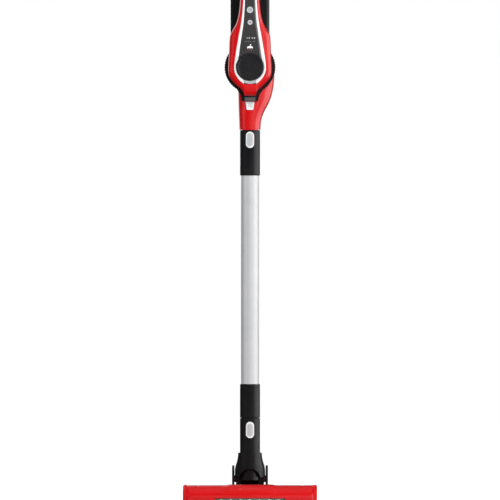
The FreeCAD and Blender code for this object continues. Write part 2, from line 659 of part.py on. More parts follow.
def make_container():
    """Clear cup with its inlet window and hinge lugs, cyclone screen, hinge pin, lid and lid latch."""
    out, wall = S("container_radius"), S("container_wall")
    front, rear, axis_z = S("container_front"), S("container_rear"), S("motor_height")
    cup = turned([(39.5, front), (out, front), (out, rear), (out - wall, rear), (out - wall, front + 2.5),
                  (39.5, front + 2.5)], "Y", 0, 0, axis_z)
    inlet = box((6.0, 42.0), (0.0, 30.0), (838.0, 872.0))
    y, z = S("hinge_back"), S("hinge_height")
    lug = fuse(box((10.0, 16.0), (y - 9.0, y), (z - 8.0, z + 2.0)), rod(3.0, (10.0, 16.0), "X", y=y, z=z))
    lug = cut(lug, rod(1.5, (5.0, 20.0), "X", y=y, z=z), rod(out - wall + 0.5, (0.0, 90.0), "Y", z=axis_z),
              rod(out + 1.2, (rear, 90.0), "Y", z=axis_z))
    node("container_shell", cut(fuse(cup, lug, mirrored(lug)), inlet))
    mesh = S("screen_radius")
    rim = out - wall - 0.1
    node("cyclone_screen", turned([(mesh - 0.8, -9.4), (rim, -9.4), (rim, -7.6), (mesh, -7.6), (mesh, 38.0),
                                   (22.0, 54.0), (0.0, 54.0), (0.0, 53.0), (21.6, 53.0), (mesh - 0.8, 37.6)],
                                  "Y", 0, 0, axis_z))
    node("hinge_pin", rod(1.45, (-15.8, 15.8), "X", y=y, z=z))
    lid = turned([(0.0, rear + 0.4), (out, rear + 0.4), (out, rear + 3.2), (out - 2.6, S("lid_rear")),
                  (0.0, S("lid_rear"))], "Y", 0, 0, axis_z)
    knuckle = fuse(rod(3.0, (-9.7, 9.7), "X", y=y, z=z), box((-9.7, 9.7), (y - 2.4, y + 2.0), (z - 8.0, z)))
    node("container_lid", cut(fuse(lid, knuckle), rod(1.5, (-20.0, 20.0), "X", y=y, z=z)))
    latch = box((-8.0, 8.0), (56.0, 72.0), (837.6, 841.6))
    node("lid_latch", rounded(latch, 1.2, lambda e: e.CenterOfMass.z < 838))


def make_filter():
    """Turning filter ring with finger ribs, and the pleated cartridge that it carries."""
    axis_z = S("motor_height")
    ring = turned([(44.0, -36.0), (50.0, -36.0), (S("ring_radius"), -34.6), (S("ring_radius"), -14.6),
                   (50.0, -13.2), (35.0, -13.2), (35.0, -17.0), (44.0, -17.0)], "Y", 0, 0, axis_z)
    ribs = shaped(star_prism(51.4, 50.0, 60, -40.0, -10.0, value_of(axis_z)))
    node("filter_ring", common(ring, ribs))
    pleats = star_prism(34.5, 28.0, 40, -17.0, 34.0, value_of(axis_z))
    node("filter_cartridge", shaped(pleats.cut(along_motor(24.0, -18.0, 35.0))))


# ---------------------------------------------------------------- hand unit

# Half outlines seen from the front, as (x, height)
SHELL_HALF = [(12.0, 831.6), (12.6, 837.5), (16.6, 843.4), (24.2, 850.4), (33.2, 858.8), (40.4, 868.0),
              (43.3, 878.0), (43.6, 888.0), (42.8, 904.0), (41.8, 922.0), (41.2, 940.0), (39.6, 953.0),
              (33.5, 964.5), (26.5, 978.0), (21.8, 998.0), (19.6, 1022.0), (18.6, 1048.0)]
TRIM_HALF = [(12.4, 855.0), (20.5, 862.0), (27.6, 871.0), (31.4, 881.5), (31.8, 892.0), (30.6, 904.0),
             (28.2, 920.0), (25.2, 938.0), (22.4, 954.0), (18.9, 972.0), (15.9, 994.0), (14.0, 1018.0),
             (12.6, 1040.0)]
PANEL_HALF = [(27.6, 886.0), (24.6, 899.0), (22.0, 911.0), (20.3, 924.0), (18.0, 940.0), (15.5, 956.0),
              (13.0, 974.0), (11.0, 995.0), (10.0, 1016.0), (9.4, 1036.0)]


def make_shells():
    """Red top shell, white surround, display panel, round cap and the grey clip under it."""
    front, rear = value_of(S("shell_front")), value_of(S("shell_rear"))
    z = value_of(S("motor_height"))
    wall = 2.3
    outer = outline_prism(SHELL_HALF, front, rear)
    rim = [e for e in outer.Edges if abs(e.CenterOfMass.y - front) < 0.1 and e.Length > 60]
    outer = outer.makeFillet(7.0, rim)
    inner = outline_prism([(x - wall, h) for x, h in SHELL_HALF], front + wall, rear + 1)
    inner = inner.common(Part.makeBox(120, 60, 214.0, Vector(-60, -90, 833.5)))
    hole = outline_prism([(x + 0.15, h) for x, h in TRIM_HALF], front - 2, front + 8)
    node("top_shell", shaped(outer.cut(inner).cut(hole).cut(solid_grip())))
    cap_room = along_motor(value_of(S("cap_radius")) + 0.4, -90.0, -70.0)
    panel = outline_prism(PANEL_HALF, -80.6, -76.0)
    panel_room = outline_prism([(x + 0.15, h) for x, h in PANEL_HALF], -90.0, -70.0)
    clip_room = Part.makeBox(24.6, 20, 14, Vector(-12.3, -90, 850))
    trim = outline_prism(TRIM_HALF, -80.2, -75.6)
    trim = trim.cut(panel_room).cut(cap_room).cut(clip_room)
    node("trim_bezel", shaped(max(trim.Solids, key=lambda s: s.Volume)))
    clip = along_motor(33.6, -80.9, -76.0).cut(cap_room).common(Part.makeBox(24, 20, 14, Vector(-12, -90, 850)))
    node("trim_clip", shaped(clip))
    buttons = (("power_button", S("power_button_height"), S("power_button_radius")),
               ("mode_button", S("mode_button_height"), S("mode_button_radius")))
    panel = panel.cut(cap_room)
    for label, height, radius in buttons:
        hole = Part.makeCylinder(value_of(radius) + 0.25, 12, Vector(0, -84, value_of(height)), Vector(0, 1, 0))
        panel = panel.cut(hole)
        key = turned([(0.0, -81.4), (radius - 0.6, -81.4), (radius, -80.9), (radius, -77.8), (0.0, -77.8)],
                     "Y", 0, 0, height)
        node(label, key)
    node("display_panel", shaped(max(panel.Solids, key=lambda s: s.Volume)))
    cap = S("cap_radius")
    node("motor_cap", turned([(0.0, -76.0), (cap, -76.0), (cap, -82.2), (cap - 0.8, -83.0), (cap - 3.2, -83.4),
                              (0.0, S("cap_front"))], "Y", 0, 0, S("motor_height")))


def make_housing():
    """Black housing: motor chamber, exhaust flange, latch frame over the nose, and the bar to the grip."""
    z = value_of(S("motor_height"))
    chamber, flange = value_of(S("housing_radius")), value_of(S("flange_radius"))
    rear = value_of(S("housing_rear"))
    solid = along_motor(chamber, -75.4, -46.2).fuse(along_motor(flange, -46.0, rear))
    solid = solid.fuse(along_motor(chamber, -47.0, -45.0))
    frame = Part.Face(Part.makePolygon([Vector(x, -50.0, h) for x, h in (
        (-26.5, 845.5), (-19.0, 834.0), (-15.8, 821.0), (15.8, 821.0), (19.0, 834.0), (26.5, 845.5),
        (20.0, 862.0), (-20.0, 862.0), (-26.5, 845.5))]))
    red_neck = outline_prism([(x + 0.2, h) for x, h in SHELL_HALF], -60.0, -45.8)
    solid = solid.fuse(frame.extrude(Vector(0, 25.0, 0)).cut(along_motor(51.6, rear, 0.0)).cut(red_neck))
    bar = outline_prism([(x - 5.2, h) for x, h in SHELL_HALF[9:15]], -74.0, -44.0)
    solid = solid.fuse(bar)
    room = along_motor(chamber - 2.4, -73.0, rear - 2.5).fuse(along_motor(22.0, -50.0, rear + 1))
    bar_room = outline_prism([(x - 7.4, h) for x, h in SHELL_HALF[9:15]], -72.0, -46.5)
    bar_room = bar_room.common(Part.makeBox(90, 60, 60.0, Vector(-45, -90, 932.0)))
    seat = along_motor(25.0, -74.0, -62.0).cut(along_motor(22.05, -73.0, -61.0))
    solid = solid.cut(room).cut(bar_room).fuse(seat)
    slit = Part.makeBox(14, 5.0, 2.2, Vector(40.0, -43.6, z - 1.1))
    for n in range(40):
        angle = n * 9.0
        if 225 < (angle % 360) < 315:
            continue
        tool = slit.copy()
        tool.rotate(Vector(0, 0, z), Vector(0, 1, 0), -angle)
        solid = solid.cut(tool)
    pocket = Part.makeBox(22.4, 8.0, 8.2, Vector(-11.2, -51.0, 821.4))
    solid = solid.cut(pocket)
    node("motor_housing", shaped(max(solid.Solids, key=lambda s: s.Volume)))
    bar_latch = box((-10.8, 10.8), (-52.0, -46.5), (821.8, 829.2))
    node("container_latch", rounded(bar_latch, 1.0, lambda e: e.CenterOfMass.y < -51.5))


def make_motor():
    """Suction motor: can and rotor with its fan, pleated exhaust filter and circuit board."""
    z = S("motor_height")
    node("fan_motor", turned([(2.7, -70.0), (22.0, -70.0), (22.0, -47.0), (20.0, -47.0), (20.0, -68.0),
                              (2.7, -68.0)], "Y", 0, 0, z))
    node("fan_rotor", turned([(0.0, -71.0), (2.5, -71.0), (2.5, -66.5), (15.0, -66.5), (15.0, -49.0), (2.5, -49.0),
                              (2.5, -45.5), (19.0, -44.5), (19.0, -43.0), (6.0, -39.5), (0.0, -39.5)],
                             "Y", 0, 0, z))
    pleats = star_prism(36.4, 31.0, 48, -70.0, -48.0, value_of(z))
    node("exhaust_filter", shaped(pleats.cut(along_motor(27.5, -71.0, -47.0))))
    node("control_board", box((-8.0, 8.0), (-72.0, -70.4), (936.0, 988.0)))


# Side outline of the grip as (y, height): outside round the back, then the finger side
GRIP_OUTSIDE = [(-75.4, 998.2), (-74.6, 1028.0), (-66.0, 1058.0), (-46.0, 1082.0), (-18.0, 1094.0),
                (12.0, 1096.0), (36.0, 1093.0), (56.0, 1088.0)]
GRIP_FINGERS = [(56.0, 1046.0), (44.0, 1051.0), (22.0, 1056.5), (-4.0, 1057.0), (-26.0, 1049.0),
                (-38.5, 1028.0), (-43.0, 998.2)]


def moved_out(points, extra):
    """The points of a side outline moved out along its own normals."""
    made = []
    last = len(points) - 1
    for n, (y, z) in enumerate(points):
        (y0, z0), (y1, z1) = points[max(n - 1, 0)], points[min(n + 1, last)]
        length = math.hypot(y1 - y0, z1 - z0)
        made.append(Vector(0, y - extra * (z1 - z0) / length, z + extra * (y1 - y0) / length))
    return made


def grip_face(extra=0.0):
    """Side outline as a face, grown or shrunk on its two long sides."""
    outside = moved_out(GRIP_OUTSIDE, extra)
    fingers = moved_out(GRIP_FINGERS, extra)
    top, low = Part.BSplineCurve(), Part.BSplineCurve()
    top.interpolate(outside)
    low.interpolate(fingers)
    return Part.Face(Part.Wire([top.toShape(), Part.makeLine(outside[-1], fingers[0]), low.toShape(),
                                Part.makeLine(fingers[-1], outside[0])]))


def solid_grip():
    """The whole grip as one rounded solid."""
    half = value_of(S("grip_half_width"))
    solid = grip_face().extrude(Vector(2 * half, 0, 0))
    solid.translate(Vector(-half, 0, 0))
    return solid.makeFillet(11.0, [e for e in solid.Edges if abs(abs(e.CenterOfMass.x) - half) < 0.1
                                   and e.Length > 60])


def make_grip():
    """Loop grip in two half shells that meet on the centre plane, with a soft pad on the finger side."""
    half = value_of(S("grip_half_width"))
    solid = solid_grip()
    core = grip_face(-2.8).extrude(Vector(2 * half - 5.6, 0, 0))
    core.translate(Vector(2.8 - half, 0, 0))
    core_edges = [e for e in core.Edges if abs(abs(e.CenterOfMass.x) - half + 2.8) < 0.1 and e.Length > 60]
    core = core.makeFillet(8.4, core_edges)
    hollow = solid.cut(core)
    for label, low in (("grip_left", -40.0), ("grip_right", 0.05)):
        side = Part.makeBox(39.95, 220, 160, Vector(low, -110, 980))
        node(label, shaped(hollow.common(side)))
    skin = grip_face(1.3).cut(grip_face()).extrude(Vector(20, 0, 0))
    skin.translate(Vector(-10, 0, 0))
    skin = skin.common(Part.makeBox(20, 66, 30, Vector(-10, -24, 1040)))
    pad = max(skin.Solids, key=lambda s: s.Volume)
    node("grip_pad", shaped(pad.cut(solid)))


def make_battery():
    """Battery bay under the grip, battery case with its cells and release key."""
    half, bay_rear = S("bay_half_width"), S("bay_rear")
    bay_foot, bay_top = S("bay_foot"), S("bay_top")
    block = box((-half, half), (S("bay_front"), bay_rear), (bay_foot, bay_top))
    block = rounded(block, 8.0, lambda e: e.CenterOfMass.y < 51 or (abs(abs(e.CenterOfMass.x) - 39) < 0.1
                                                                    and e.Length < 25))
    pocket = box((21.0, half - 4.0), (54.0, bay_rear + 1), (bay_foot + 5.0, bay_top - 5.0))
    boss = rod(6.0, (half - 16.0, half - 2.0), "X", y=61.0, z=1000.0)
    rail_gap = 0.3
    slots = [box((-x - rail_gap, x + rail_gap), (low - rail_gap, high + rail_gap), (961.8, bay_top + 1))
             for x, low, high in ((12.0, 62.0, 72.0), (18.0, 60.6, 64.0))]
    jack = rod(S("jack_radius"), (half - 13.0, half + 1.0), "X", y=61.0, z=1000.0)
    node("battery_bay", cut(fuse(cut(block, pocket, mirrored(pocket)), boss), shaped(solid_grip()), jack, *slots))
    foot, top, rear, wall = S("battery_foot"), S("battery_top"), S("battery_rear"), S("battery_wall")
    near = bay_rear + 0.4
    case = box((-half + 0.5, half - 0.5), (near, rear), (foot, top))
    case = rounded(case, 7.0, lambda e: e.CenterOfMass.y > 100 or abs(e.tangentAt(e.FirstParameter).y) > 0.9)
    inside = box((-half + 3.5, half - 3.5), (near + wall, rear - wall), (foot + wall, top - wall))
    key_room = box((-12.4, 12.4), (83.6, 100.4), (top - 5.0, top + 1.0))
    tongue = [box((-12.0, 12.0), (62.0, near + 1), (962.0, 1074.0)),
              box((-18.0, 18.0), (60.6, 64.0), (962.0, 1074.0))]
    node("battery_case", cut(fuse(case, *tongue), inside, key_room))
    key = box((-12.0, 12.0), (84.0, 100.0), (top - 4.0, top + 2.4))
    node("battery_key", rounded(key, 1.4, lambda e: e.CenterOfMass.z > 1084))
    pitch = 21.6
    cells = [solid_of(rod(S("cell_radius"), (-S("cell_length") * 0.5, S("cell_length") * 0.5), "X",
                          y=94.0, z=foot + 15.0 + n * pitch)) for n in range(5)]
    node("battery_cells", shaped(Part.makeCompound(cells)))


make_head_base()
make_head_cover()
make_head_details()
make_belt()
make_roller()
make_wheels()
make_elbow()
make_neck()
make_wand()
make_nose()
make_container()
make_filter()
make_shells()
make_housing()
make_motor()
make_grip()
make_battery()

doc.recompute()
for thing in doc.Objects:
    if {"Invalid", "Error"} & set(thing.State):
        raise RuntimeError(f"{thing.Name} ({thing.Label}) failed: {thing.State}")
os.makedirs("parts", exist_ok=True)
for label, thing in nodes.items():
    shape = thing.Shape
    if shape.isNull() or not shape.isValid() or not shape.Solids:
        raise RuntimeError(f"{label} has no valid solid")
    shape.exportStep(f"parts/{label}.step")
print(len(nodes), "nodes written")
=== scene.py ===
import itertools
import json
import math
import random

import bpy
import bmesh
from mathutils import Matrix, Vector


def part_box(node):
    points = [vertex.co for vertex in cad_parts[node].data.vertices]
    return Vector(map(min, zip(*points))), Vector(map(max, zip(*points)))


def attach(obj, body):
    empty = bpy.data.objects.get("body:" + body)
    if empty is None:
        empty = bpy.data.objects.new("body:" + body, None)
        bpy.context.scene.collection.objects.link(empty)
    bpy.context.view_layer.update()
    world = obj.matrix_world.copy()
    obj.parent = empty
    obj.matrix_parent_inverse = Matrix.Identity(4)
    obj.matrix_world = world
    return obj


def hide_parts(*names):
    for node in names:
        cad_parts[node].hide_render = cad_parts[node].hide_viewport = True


# The object is built in millimetres, in the part's own frame: +Z up the wand, display on -Y, origin on the
# floor. The camera, floor and lights are placed in metres.

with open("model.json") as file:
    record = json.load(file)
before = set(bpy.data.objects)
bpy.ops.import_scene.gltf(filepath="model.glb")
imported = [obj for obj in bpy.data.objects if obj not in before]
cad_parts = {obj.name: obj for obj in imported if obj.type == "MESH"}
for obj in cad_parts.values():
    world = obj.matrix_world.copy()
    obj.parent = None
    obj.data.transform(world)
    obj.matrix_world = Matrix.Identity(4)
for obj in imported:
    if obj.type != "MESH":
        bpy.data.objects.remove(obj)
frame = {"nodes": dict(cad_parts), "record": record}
nodes = frame["nodes"]
slot_of_node = {s["node"]: s["material_slot"] for s in frame["record"]["subparts"]}
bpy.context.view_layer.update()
MM = 0.001


def box_mm(node):
    """A node's lowest and highest corners in millimetres."""
    return [[value / MM for value in corner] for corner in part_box(node)]


# ------------------------------------------------------------------ camera, floor and light

VIEW_HEIGHT = 0.524
VIEW_SPAN = 1.0
LENS, SENSOR = 1000.0, 36.0
VIEW_END = 60
FLOOR_REACH = 14.0
# Distances from the origin between which the floor's glow grows, and its strength at each
FLOOR_FADE = (0.7, 3.0)
FLOOR_GLOW = (0.4, 1.0)
FLOOR_SHADE = 0.9
# Strength of the white surroundings as light and as seen by the camera
WORLD_GLOW = (0.04, 1.0)
LIGHT_AIM = (0, 0, 0.6)
# Name, place, width, height and watts; a soft light shows only as diffuse light and a sheen only as gloss
SOFT_LIGHTS = [("front", (0.9, -2.6, 1.1), 1.6, 1.6, 55),
               ("left", (-2.0, -1.1, 0.9), 1.2, 1.6, 26),
               ("right", (2.0, -0.8, 0.9), 1.2, 1.6, 28),
               ("top", (0.2, 0.3, 2.6), 1.6, 1.6, 16),
               ("back", (-1.0, 2.4, 1.3), 1.6, 1.8, 50),
               ("bounce", (0.4, -1.4, 0.05), 1.4, 1.0, 6)]
SHEEN_LIGHTS = [("right_sheen", (1.9, -0.1, 0.78), 2.8, 1.9, 35),
                ("left_sheen", (-1.9, -0.9, 0.9), 1.0, 1.7, 1.2),
                ("back_sheen", (-0.9, 2.2, 1.5), 1.6, 1.8, 10)]


def placed(name, data):
    """A new object with this data, in the scene."""
    thing = bpy.data.objects.new(name, data)
    bpy.context.scene.collection.objects.link(thing)
    return thing


def make_camera():
    """Square-on view of the display side with a long lens."""
    data = bpy.data.cameras.new("camera")
    data.lens = LENS
    data.sensor_width = SENSOR
    data.clip_end = VIEW_END
    data.dof.use_dof = False
    camera = placed("camera", data)
    camera.location = (0, -VIEW_SPAN / 2 / (SENSOR / 2 / LENS), VIEW_HEIGHT)
    camera.rotation_euler = (math.radians(90), 0, 0)
    bpy.context.scene.camera = camera


def area_light(name, place, width, height, power, sheen):
    """Rectangular light that looks at the object and shows either as diffuse light or as gloss."""
    data = bpy.data.lights.new(name, "AREA")
    data.shape = "RECTANGLE"
    data.size = width
    data.size_y = height
    data.energy = power
    light = placed(name, data)
    light.location = place
    light.rotation_euler = (Vector(LIGHT_AIM) - Vector(place)).to_track_quat("-Z", "Y").to_euler()
    light.visible_camera = False
    light.visible_glossy = sheen
    light.visible_diffuse = not sheen


def make_stage():
    """Floor that turns white away from the object, white surroundings, and the soft and glossy lights."""
    mesh = bpy.data.meshes.new("floor")
    reach = FLOOR_REACH
    mesh.from_pydata([(-reach, -reach, 0), (reach, -reach, 0), (reach, reach, 0), (-reach, reach, 0)],
                     [], [(0, 1, 2, 3)])
    floor = placed("floor", mesh)
    paint, tree, skin = blank("floor_paint")
    skin.inputs["Roughness"].default_value = 0.9
    skin.inputs["Specular IOR Level"].default_value = 0.0
    skin.inputs["Base Color"].default_value = (FLOOR_SHADE, FLOOR_SHADE, FLOOR_SHADE, 1)
    skin.inputs["Emission Color"].default_value = (1, 1, 1, 1)
    where = add(tree, "TexCoord").outputs["Object"]
    away = add(tree, "VectorMath", {0: where}, operation="LENGTH").outputs["Value"]
    tree.links.new(ramp(tree, away, *FLOOR_FADE, *FLOOR_GLOW), skin.inputs["Emission Strength"])
    mesh.materials.append(paint)
    floor.visible_glossy = False
    floor.visible_diffuse = False
    world = bpy.data.worlds.new("studio")
    bpy.context.scene.world = world
    world.use_nodes = True
    tree = world.node_tree
    seen = add(tree, "LightPath").outputs["Is Camera Ray"]
    tree.nodes["Background"].inputs[0].default_value = (1, 1, 1, 1)
    tree.links.new(ramp(tree, seen, 0.0, 1.0, *WORLD_GLOW), tree.nodes["Background"].inputs[1])
    for lights, sheen in ((SOFT_LIGHTS, False), (SHEEN_LIGHTS, True)):
        for name, place, width, height, power in lights:
            area_light(name, place, width, height, power, sheen)
    bpy.context.scene.view_settings.view_transform = "Standard"


# ------------------------------------------------------------------ surfaces

DUST = (0.55, 0.53, 0.5)
# Noise sizes, in repeats a metre, for the broad patches of shade, the rub marks and the dust
PATCH_SCALE, RUB_SCALE, DUST_SCALE = 18.0, 46.0, 420.0
# How finely streaks repeat along X, Y and Z where a surface has no brushing of its own
STREAKS = (260.0, 260.0, 14.0)
BUMP_HEIGHT = 0.0004


def blank(name):
    """A new material with its node tree and its shader."""
    material = bpy.data.materials.new(name)
    material.use_nodes = True
    return material, material.node_tree, material.node_tree.nodes["Principled BSDF"]


def add(tree, kind, inputs=None, **settings):
    """A shader node with its settings and its inputs, each a value or another node's socket."""
    made = tree.nodes.new("ShaderNode" + kind)
    for key, value in settings.items():
        setattr(made, key, value)
    for key, value in (inputs or {}).items():
        if isinstance(value, bpy.types.NodeSocket):
            tree.links.new(value, made.inputs[key])
        else:
            made.inputs[key].default_value = value
    return made


def ramp(tree, source, low, high, to_low=0.0, to_high=1.0):
    """The source's range from low to high, mapped to another range."""
    return add(tree, "MapRange", {"Value": source, "From Min": low, "From Max": high,
                                  "To Min": to_low, "To Max": to_high}).outputs[0]


def shades(tree, factor, low, high):
    """A colour, or another node's colour, mixed by a factor with a second colour."""
    low = low if isinstance(low, bpy.types.NodeSocket) else (*low, 1)
    return add(tree, "Mix", {0: factor, 6: low, 7: (*high, 1)}, data_type="RGBA").outputs[2]


def noise(tree, where, scale, detail):
    """Noise of this many repeats, between 0 and 1."""
    return add(tree, "TexNoise", {"Vector": where, "Scale": scale, "Detail": detail}).outputs[0]


def surface(name, low, high, rough, spread=0.08, grain=1500.0, depth=0.06, brushed=None,
            metal=0.0, coat=0.0, coat_rough=0.1, specular=0.5, dust=0.04):
    """A hard surface: two near shades in patches, fine grain, rubbed streaks and a little settled dust."""
    material, tree, skin = blank(name)
    where = add(tree, "TexCoord").outputs["Object"]
    broad = add(tree, "TexNoise", {"Vector": where, "Scale": PATCH_SCALE, "Detail": 5.0, "Roughness": 0.6})
    colour = shades(tree, ramp(tree, broad.outputs[0], 0.35, 0.65), low, high)
    up = add(tree, "SeparateXYZ", {0: add(tree, "NewGeometry").outputs["Normal"]}).outputs[2]
    specks = ramp(tree, noise(tree, where, DUST_SCALE, 3.0), 0.4, 0.7)
    settled = add(tree, "Math", {0: ramp(tree, up, 0.2, 1.0, 0.0, dust), 1: specks},
                  operation="MULTIPLY").outputs[0]
    tree.links.new(shades(tree, settled, colour, DUST), skin.inputs["Base Color"])
    stretch = add(tree, "Mapping", {"Vector": where, "Scale": brushed or STREAKS}).outputs[0]
    streak = noise(tree, stretch, 1.0, 6.0)
    rubbed = add(tree, "Math", {0: streak, 1: noise(tree, where, RUB_SCALE, 4.0)},
                 operation="ADD").outputs[0]
    tree.links.new(ramp(tree, rubbed, 0.7, 1.3, max(rough - spread, 0.02), rough + spread),
                   skin.inputs["Roughness"])
    relief = noise(tree, where, grain, 2.0)
    if brushed:
        relief = add(tree, "Math", {0: relief, 1: streak}, operation="ADD").outputs[0]
    bump = add(tree, "Bump", {"Strength": depth, "Distance": BUMP_HEIGHT, "Height": relief})
    tree.links.new(bump.outputs[0], skin.inputs["Normal"])
    skin.inputs["Metallic"].default_value = metal
    skin.inputs["Coat Weight"].default_value = coat
    skin.inputs["Coat Roughness"].default_value = coat_rough
    skin.inputs["Specular IOR Level"].default_value = specular
    return material


def clear_plastic(name, tint, rough):
    """Moulded clear plastic with a faint tint and a few rub marks."""
    material, tree, skin = blank(name)
    broad = noise(tree, add(tree, "TexCoord").outputs["Object"], 30.0, 5.0)
    paler = [min(1, c * 1.12) for c in tint]
    tree.links.new(shades(tree, broad, tint, paler), skin.inputs["Base Color"])
    tree.links.new(ramp(tree, broad, 0.3, 0.7, rough, rough + 0.1), skin.inputs["Roughness"])
    skin.inputs["Transmission Weight"].default_value = 1.0
    skin.inputs["IOR"].default_value = 1.49
    return material


def glow(name, colour, strength):
    """A lit mark whose brightness is slightly uneven."""
    material, tree, skin = blank(name)
    uneven = noise(tree, add(tree, "TexCoord").outputs["Object"], 900.0, 2.0)
    tree.links.new(shades(tree, uneven, colour, [0.8 * c for c in colour]), skin.inputs["Base Color"])
    skin.inputs["Emission Color"].default_value = (*colour, 1)
    tree.links.new(ramp(tree, uneven, 0.2, 0.8, strength * 0.8, strength), skin.inputs["Emission Strength"])
    skin.inputs["Roughness"].default_value = 0.4
    return material


make_camera()
make_stage()

PAINTS = {
    "shell_red": surface("red_gloss", (0.60, 0.003, 0.005), (0.64, 0.004, 0.006), 0.30, 0.025, grain=900.0,
                         depth=0.015, coat=0.5, coat_rough=0.22, dust=0.02),
    "trim_white": surface("white_gloss", (0.86, 0.86, 0.87), (0.90, 0.90, 0.90), 0.24, coat=0.4),
    "tab_white": surface("white_tab", (0.84, 0.84, 0.85), (0.88, 0.88, 0.89), 0.28, coat=0.3),
    "clip_grey": surface("silver_satin", (0.40, 0.405, 0.415), (0.46, 0.465, 0.475), 0.34),
    "panel_black": surface("black_glass", (0.040, 0.039, 0.040), (0.050, 0.049, 0.050), 0.16, 0.04,
                           coat=0.6, coat_rough=0.08),
    "cap_black": surface("black_spun", (0.014, 0.014, 0.015), (0.020, 0.020, 0.021), 0.26, 0.04,
                         brushed=(40.0, 40.0, 40.0)),
    "key_grey": surface("light_grey_key", (0.50, 0.515, 0.53), (0.58, 0.59, 0.60), 0.34, coat=0.2),
    "body_black": surface("black_satin", (0.007, 0.007, 0.008), (0.011, 0.011, 0.012), 0.36, 0.05,
                          depth=0.12, specular=0.32),
    "wand_white": surface("wand_paint", (0.56, 0.565, 0.575), (0.60, 0.605, 0.615), 0.38, 0.05,
                          grain=2200.0, depth=0.05, metal=0.15, coat=0.2, coat_rough=0.3),
    "cup_smoke": clear_plastic("smoke_clear", (0.62, 0.64, 0.67), 0.03),
    "lens_clear": clear_plastic("lamp_clear", (0.92, 0.94, 0.97), 0.10),
    "steel": surface("steel_bright", (0.50, 0.50, 0.51), (0.62, 0.62, 0.63), 0.30, metal=0.7,
                     brushed=(60.0, 900.0, 900.0)),
    "motor_metal": surface("alloy_grey", (0.42, 0.43, 0.44), (0.52, 0.53, 0.54), 0.38, metal=0.7,
                           brushed=(700.0, 50.0, 700.0)),
    "filter_white": surface("filter_paper", (0.66, 0.65, 0.60), (0.74, 0.73, 0.69), 0.85, 0.06,
                            grain=900.0, depth=0.5),
    "grip_rubber": surface("soft_rubber", (0.014, 0.014, 0.015), (0.024, 0.024, 0.026), 0.62, 0.1,
                           grain=1200.0, depth=0.3),
    "belt_rubber": surface("belt_rubber", (0.012, 0.012, 0.012), (0.02, 0.02, 0.02), 0.6, depth=0.3),
    "bristle_red": surface("nylon_red", (0.42, 0.012, 0.014), (0.52, 0.02, 0.02), 0.5, depth=0.3),
    "roller_grey": surface("roller_satin", (0.08, 0.083, 0.09), (0.11, 0.113, 0.12), 0.42),
    "board_green": surface("board_green", (0.010, 0.07, 0.03), (0.016, 0.10, 0.045), 0.4),
    "cell_blue": surface("cell_sleeve", (0.02, 0.10, 0.26), (0.03, 0.13, 0.32), 0.3, coat=0.4),
}
LATCH_GREY = surface("latch_grey", (0.085, 0.082, 0.085), (0.115, 0.112, 0.116), 0.40)
TAB_SHADE = surface("tab_shade", (0.68, 0.68, 0.70), (0.74, 0.74, 0.76), 0.34)
MARK_WHITE = glow("mark_white", (0.85, 0.86, 0.88), 0.55)
MARK_DIM = glow("mark_dim", (0.30, 0.31, 0.32), 0.12)
MARK_GREEN = glow("mark_green", (0.45, 0.62, 0.42), 0.35)
MARK_RED = glow("mark_red", (0.45, 0.05, 0.05), 0.25)
LAMP_WHITE = glow("lamp_white", (0.95, 0.97, 1.0), 1.2)


# ------------------------------------------------------------------ mesh building

SAME_POINT = 0.005


class Shape:
    """Corners in millimetres and faces, gathered before they become one mesh."""

    def __init__(self):
        self.points = []
        self.faces = []

    def row(self, points):
        """Add points and give their numbers."""
        start = len(self.points)
        self.points += [tuple(p) for p in points]
        return list(range(start, len(self.points)))

    def skin(self, rows, loop=True, close=False, skip=None):
        """Quads between rows of one length, left out where skip says so for a quad's middle.

        loop joins a row's ends, and close joins the last row to the first.
        """
        made = [self.row(r) for r in rows]
        pairs = list(zip(made, made[1:])) + ([(made[-1], made[0])] if close else [])
        count = len(made[0])
        for one, two in pairs:
            for i in range(count if loop else count - 1):
                face = (one[i], one[(i + 1) % count], two[(i + 1) % count], two[i])
                middle = sum((Vector(self.points[k]) for k in face), Vector()) / 4
                if not (skip and skip(middle)):
                    self.faces.append(face)
        return made

    def cap(self, row):
        """Close a row of numbered points with one face."""
        self.faces.append(tuple(row))

    def cap_ends(self, rows):
        """Close the first and the last of some rows."""
        self.cap(rows[0])
        self.cap(rows[-1])

    def prism(self, outline, front, back):
        """A flat outline of (x, height) carried from one depth to another, closed at both."""
        self.cap_ends(self.skin([[(x, y, z) for x, z in outline] for y in (front, back)]))

    def block(self, low, high):
        """A box between two corners."""
        (x0, y0, z0), (x1, y1, z1) = low, high
        self.prism([(x0, z0), (x1, z0), (x1, z1), (x0, z1)], y0, y1)

    def turned(self, outline, axis, centre, steps=72):
        """An outline of (radius, place along the axis) turned about an axis through a point."""
        rows = []
        for radius, along in outline:
            ring = []
            for n in range(steps):
                angle = math.tau * n / steps
                a, b = max(radius, 0.001) * math.cos(angle), max(radius, 0.001) * math.sin(angle)
                offset = {"X": (along, a, b), "Y": (a, along, b), "Z": (a, b, along)}[axis]
                ring.append(Vector(centre) + Vector(offset))
            rows.append(ring)
        return self.skin(rows)

    def fill(self, build):
        """Put the corners and faces in a bmesh, in metres, and give its corners."""
        corners = [build.verts.new(Vector(p) * MM) for p in self.points]
        for face in self.faces:
            build.faces.new([corners[i] for i in face])
        return corners


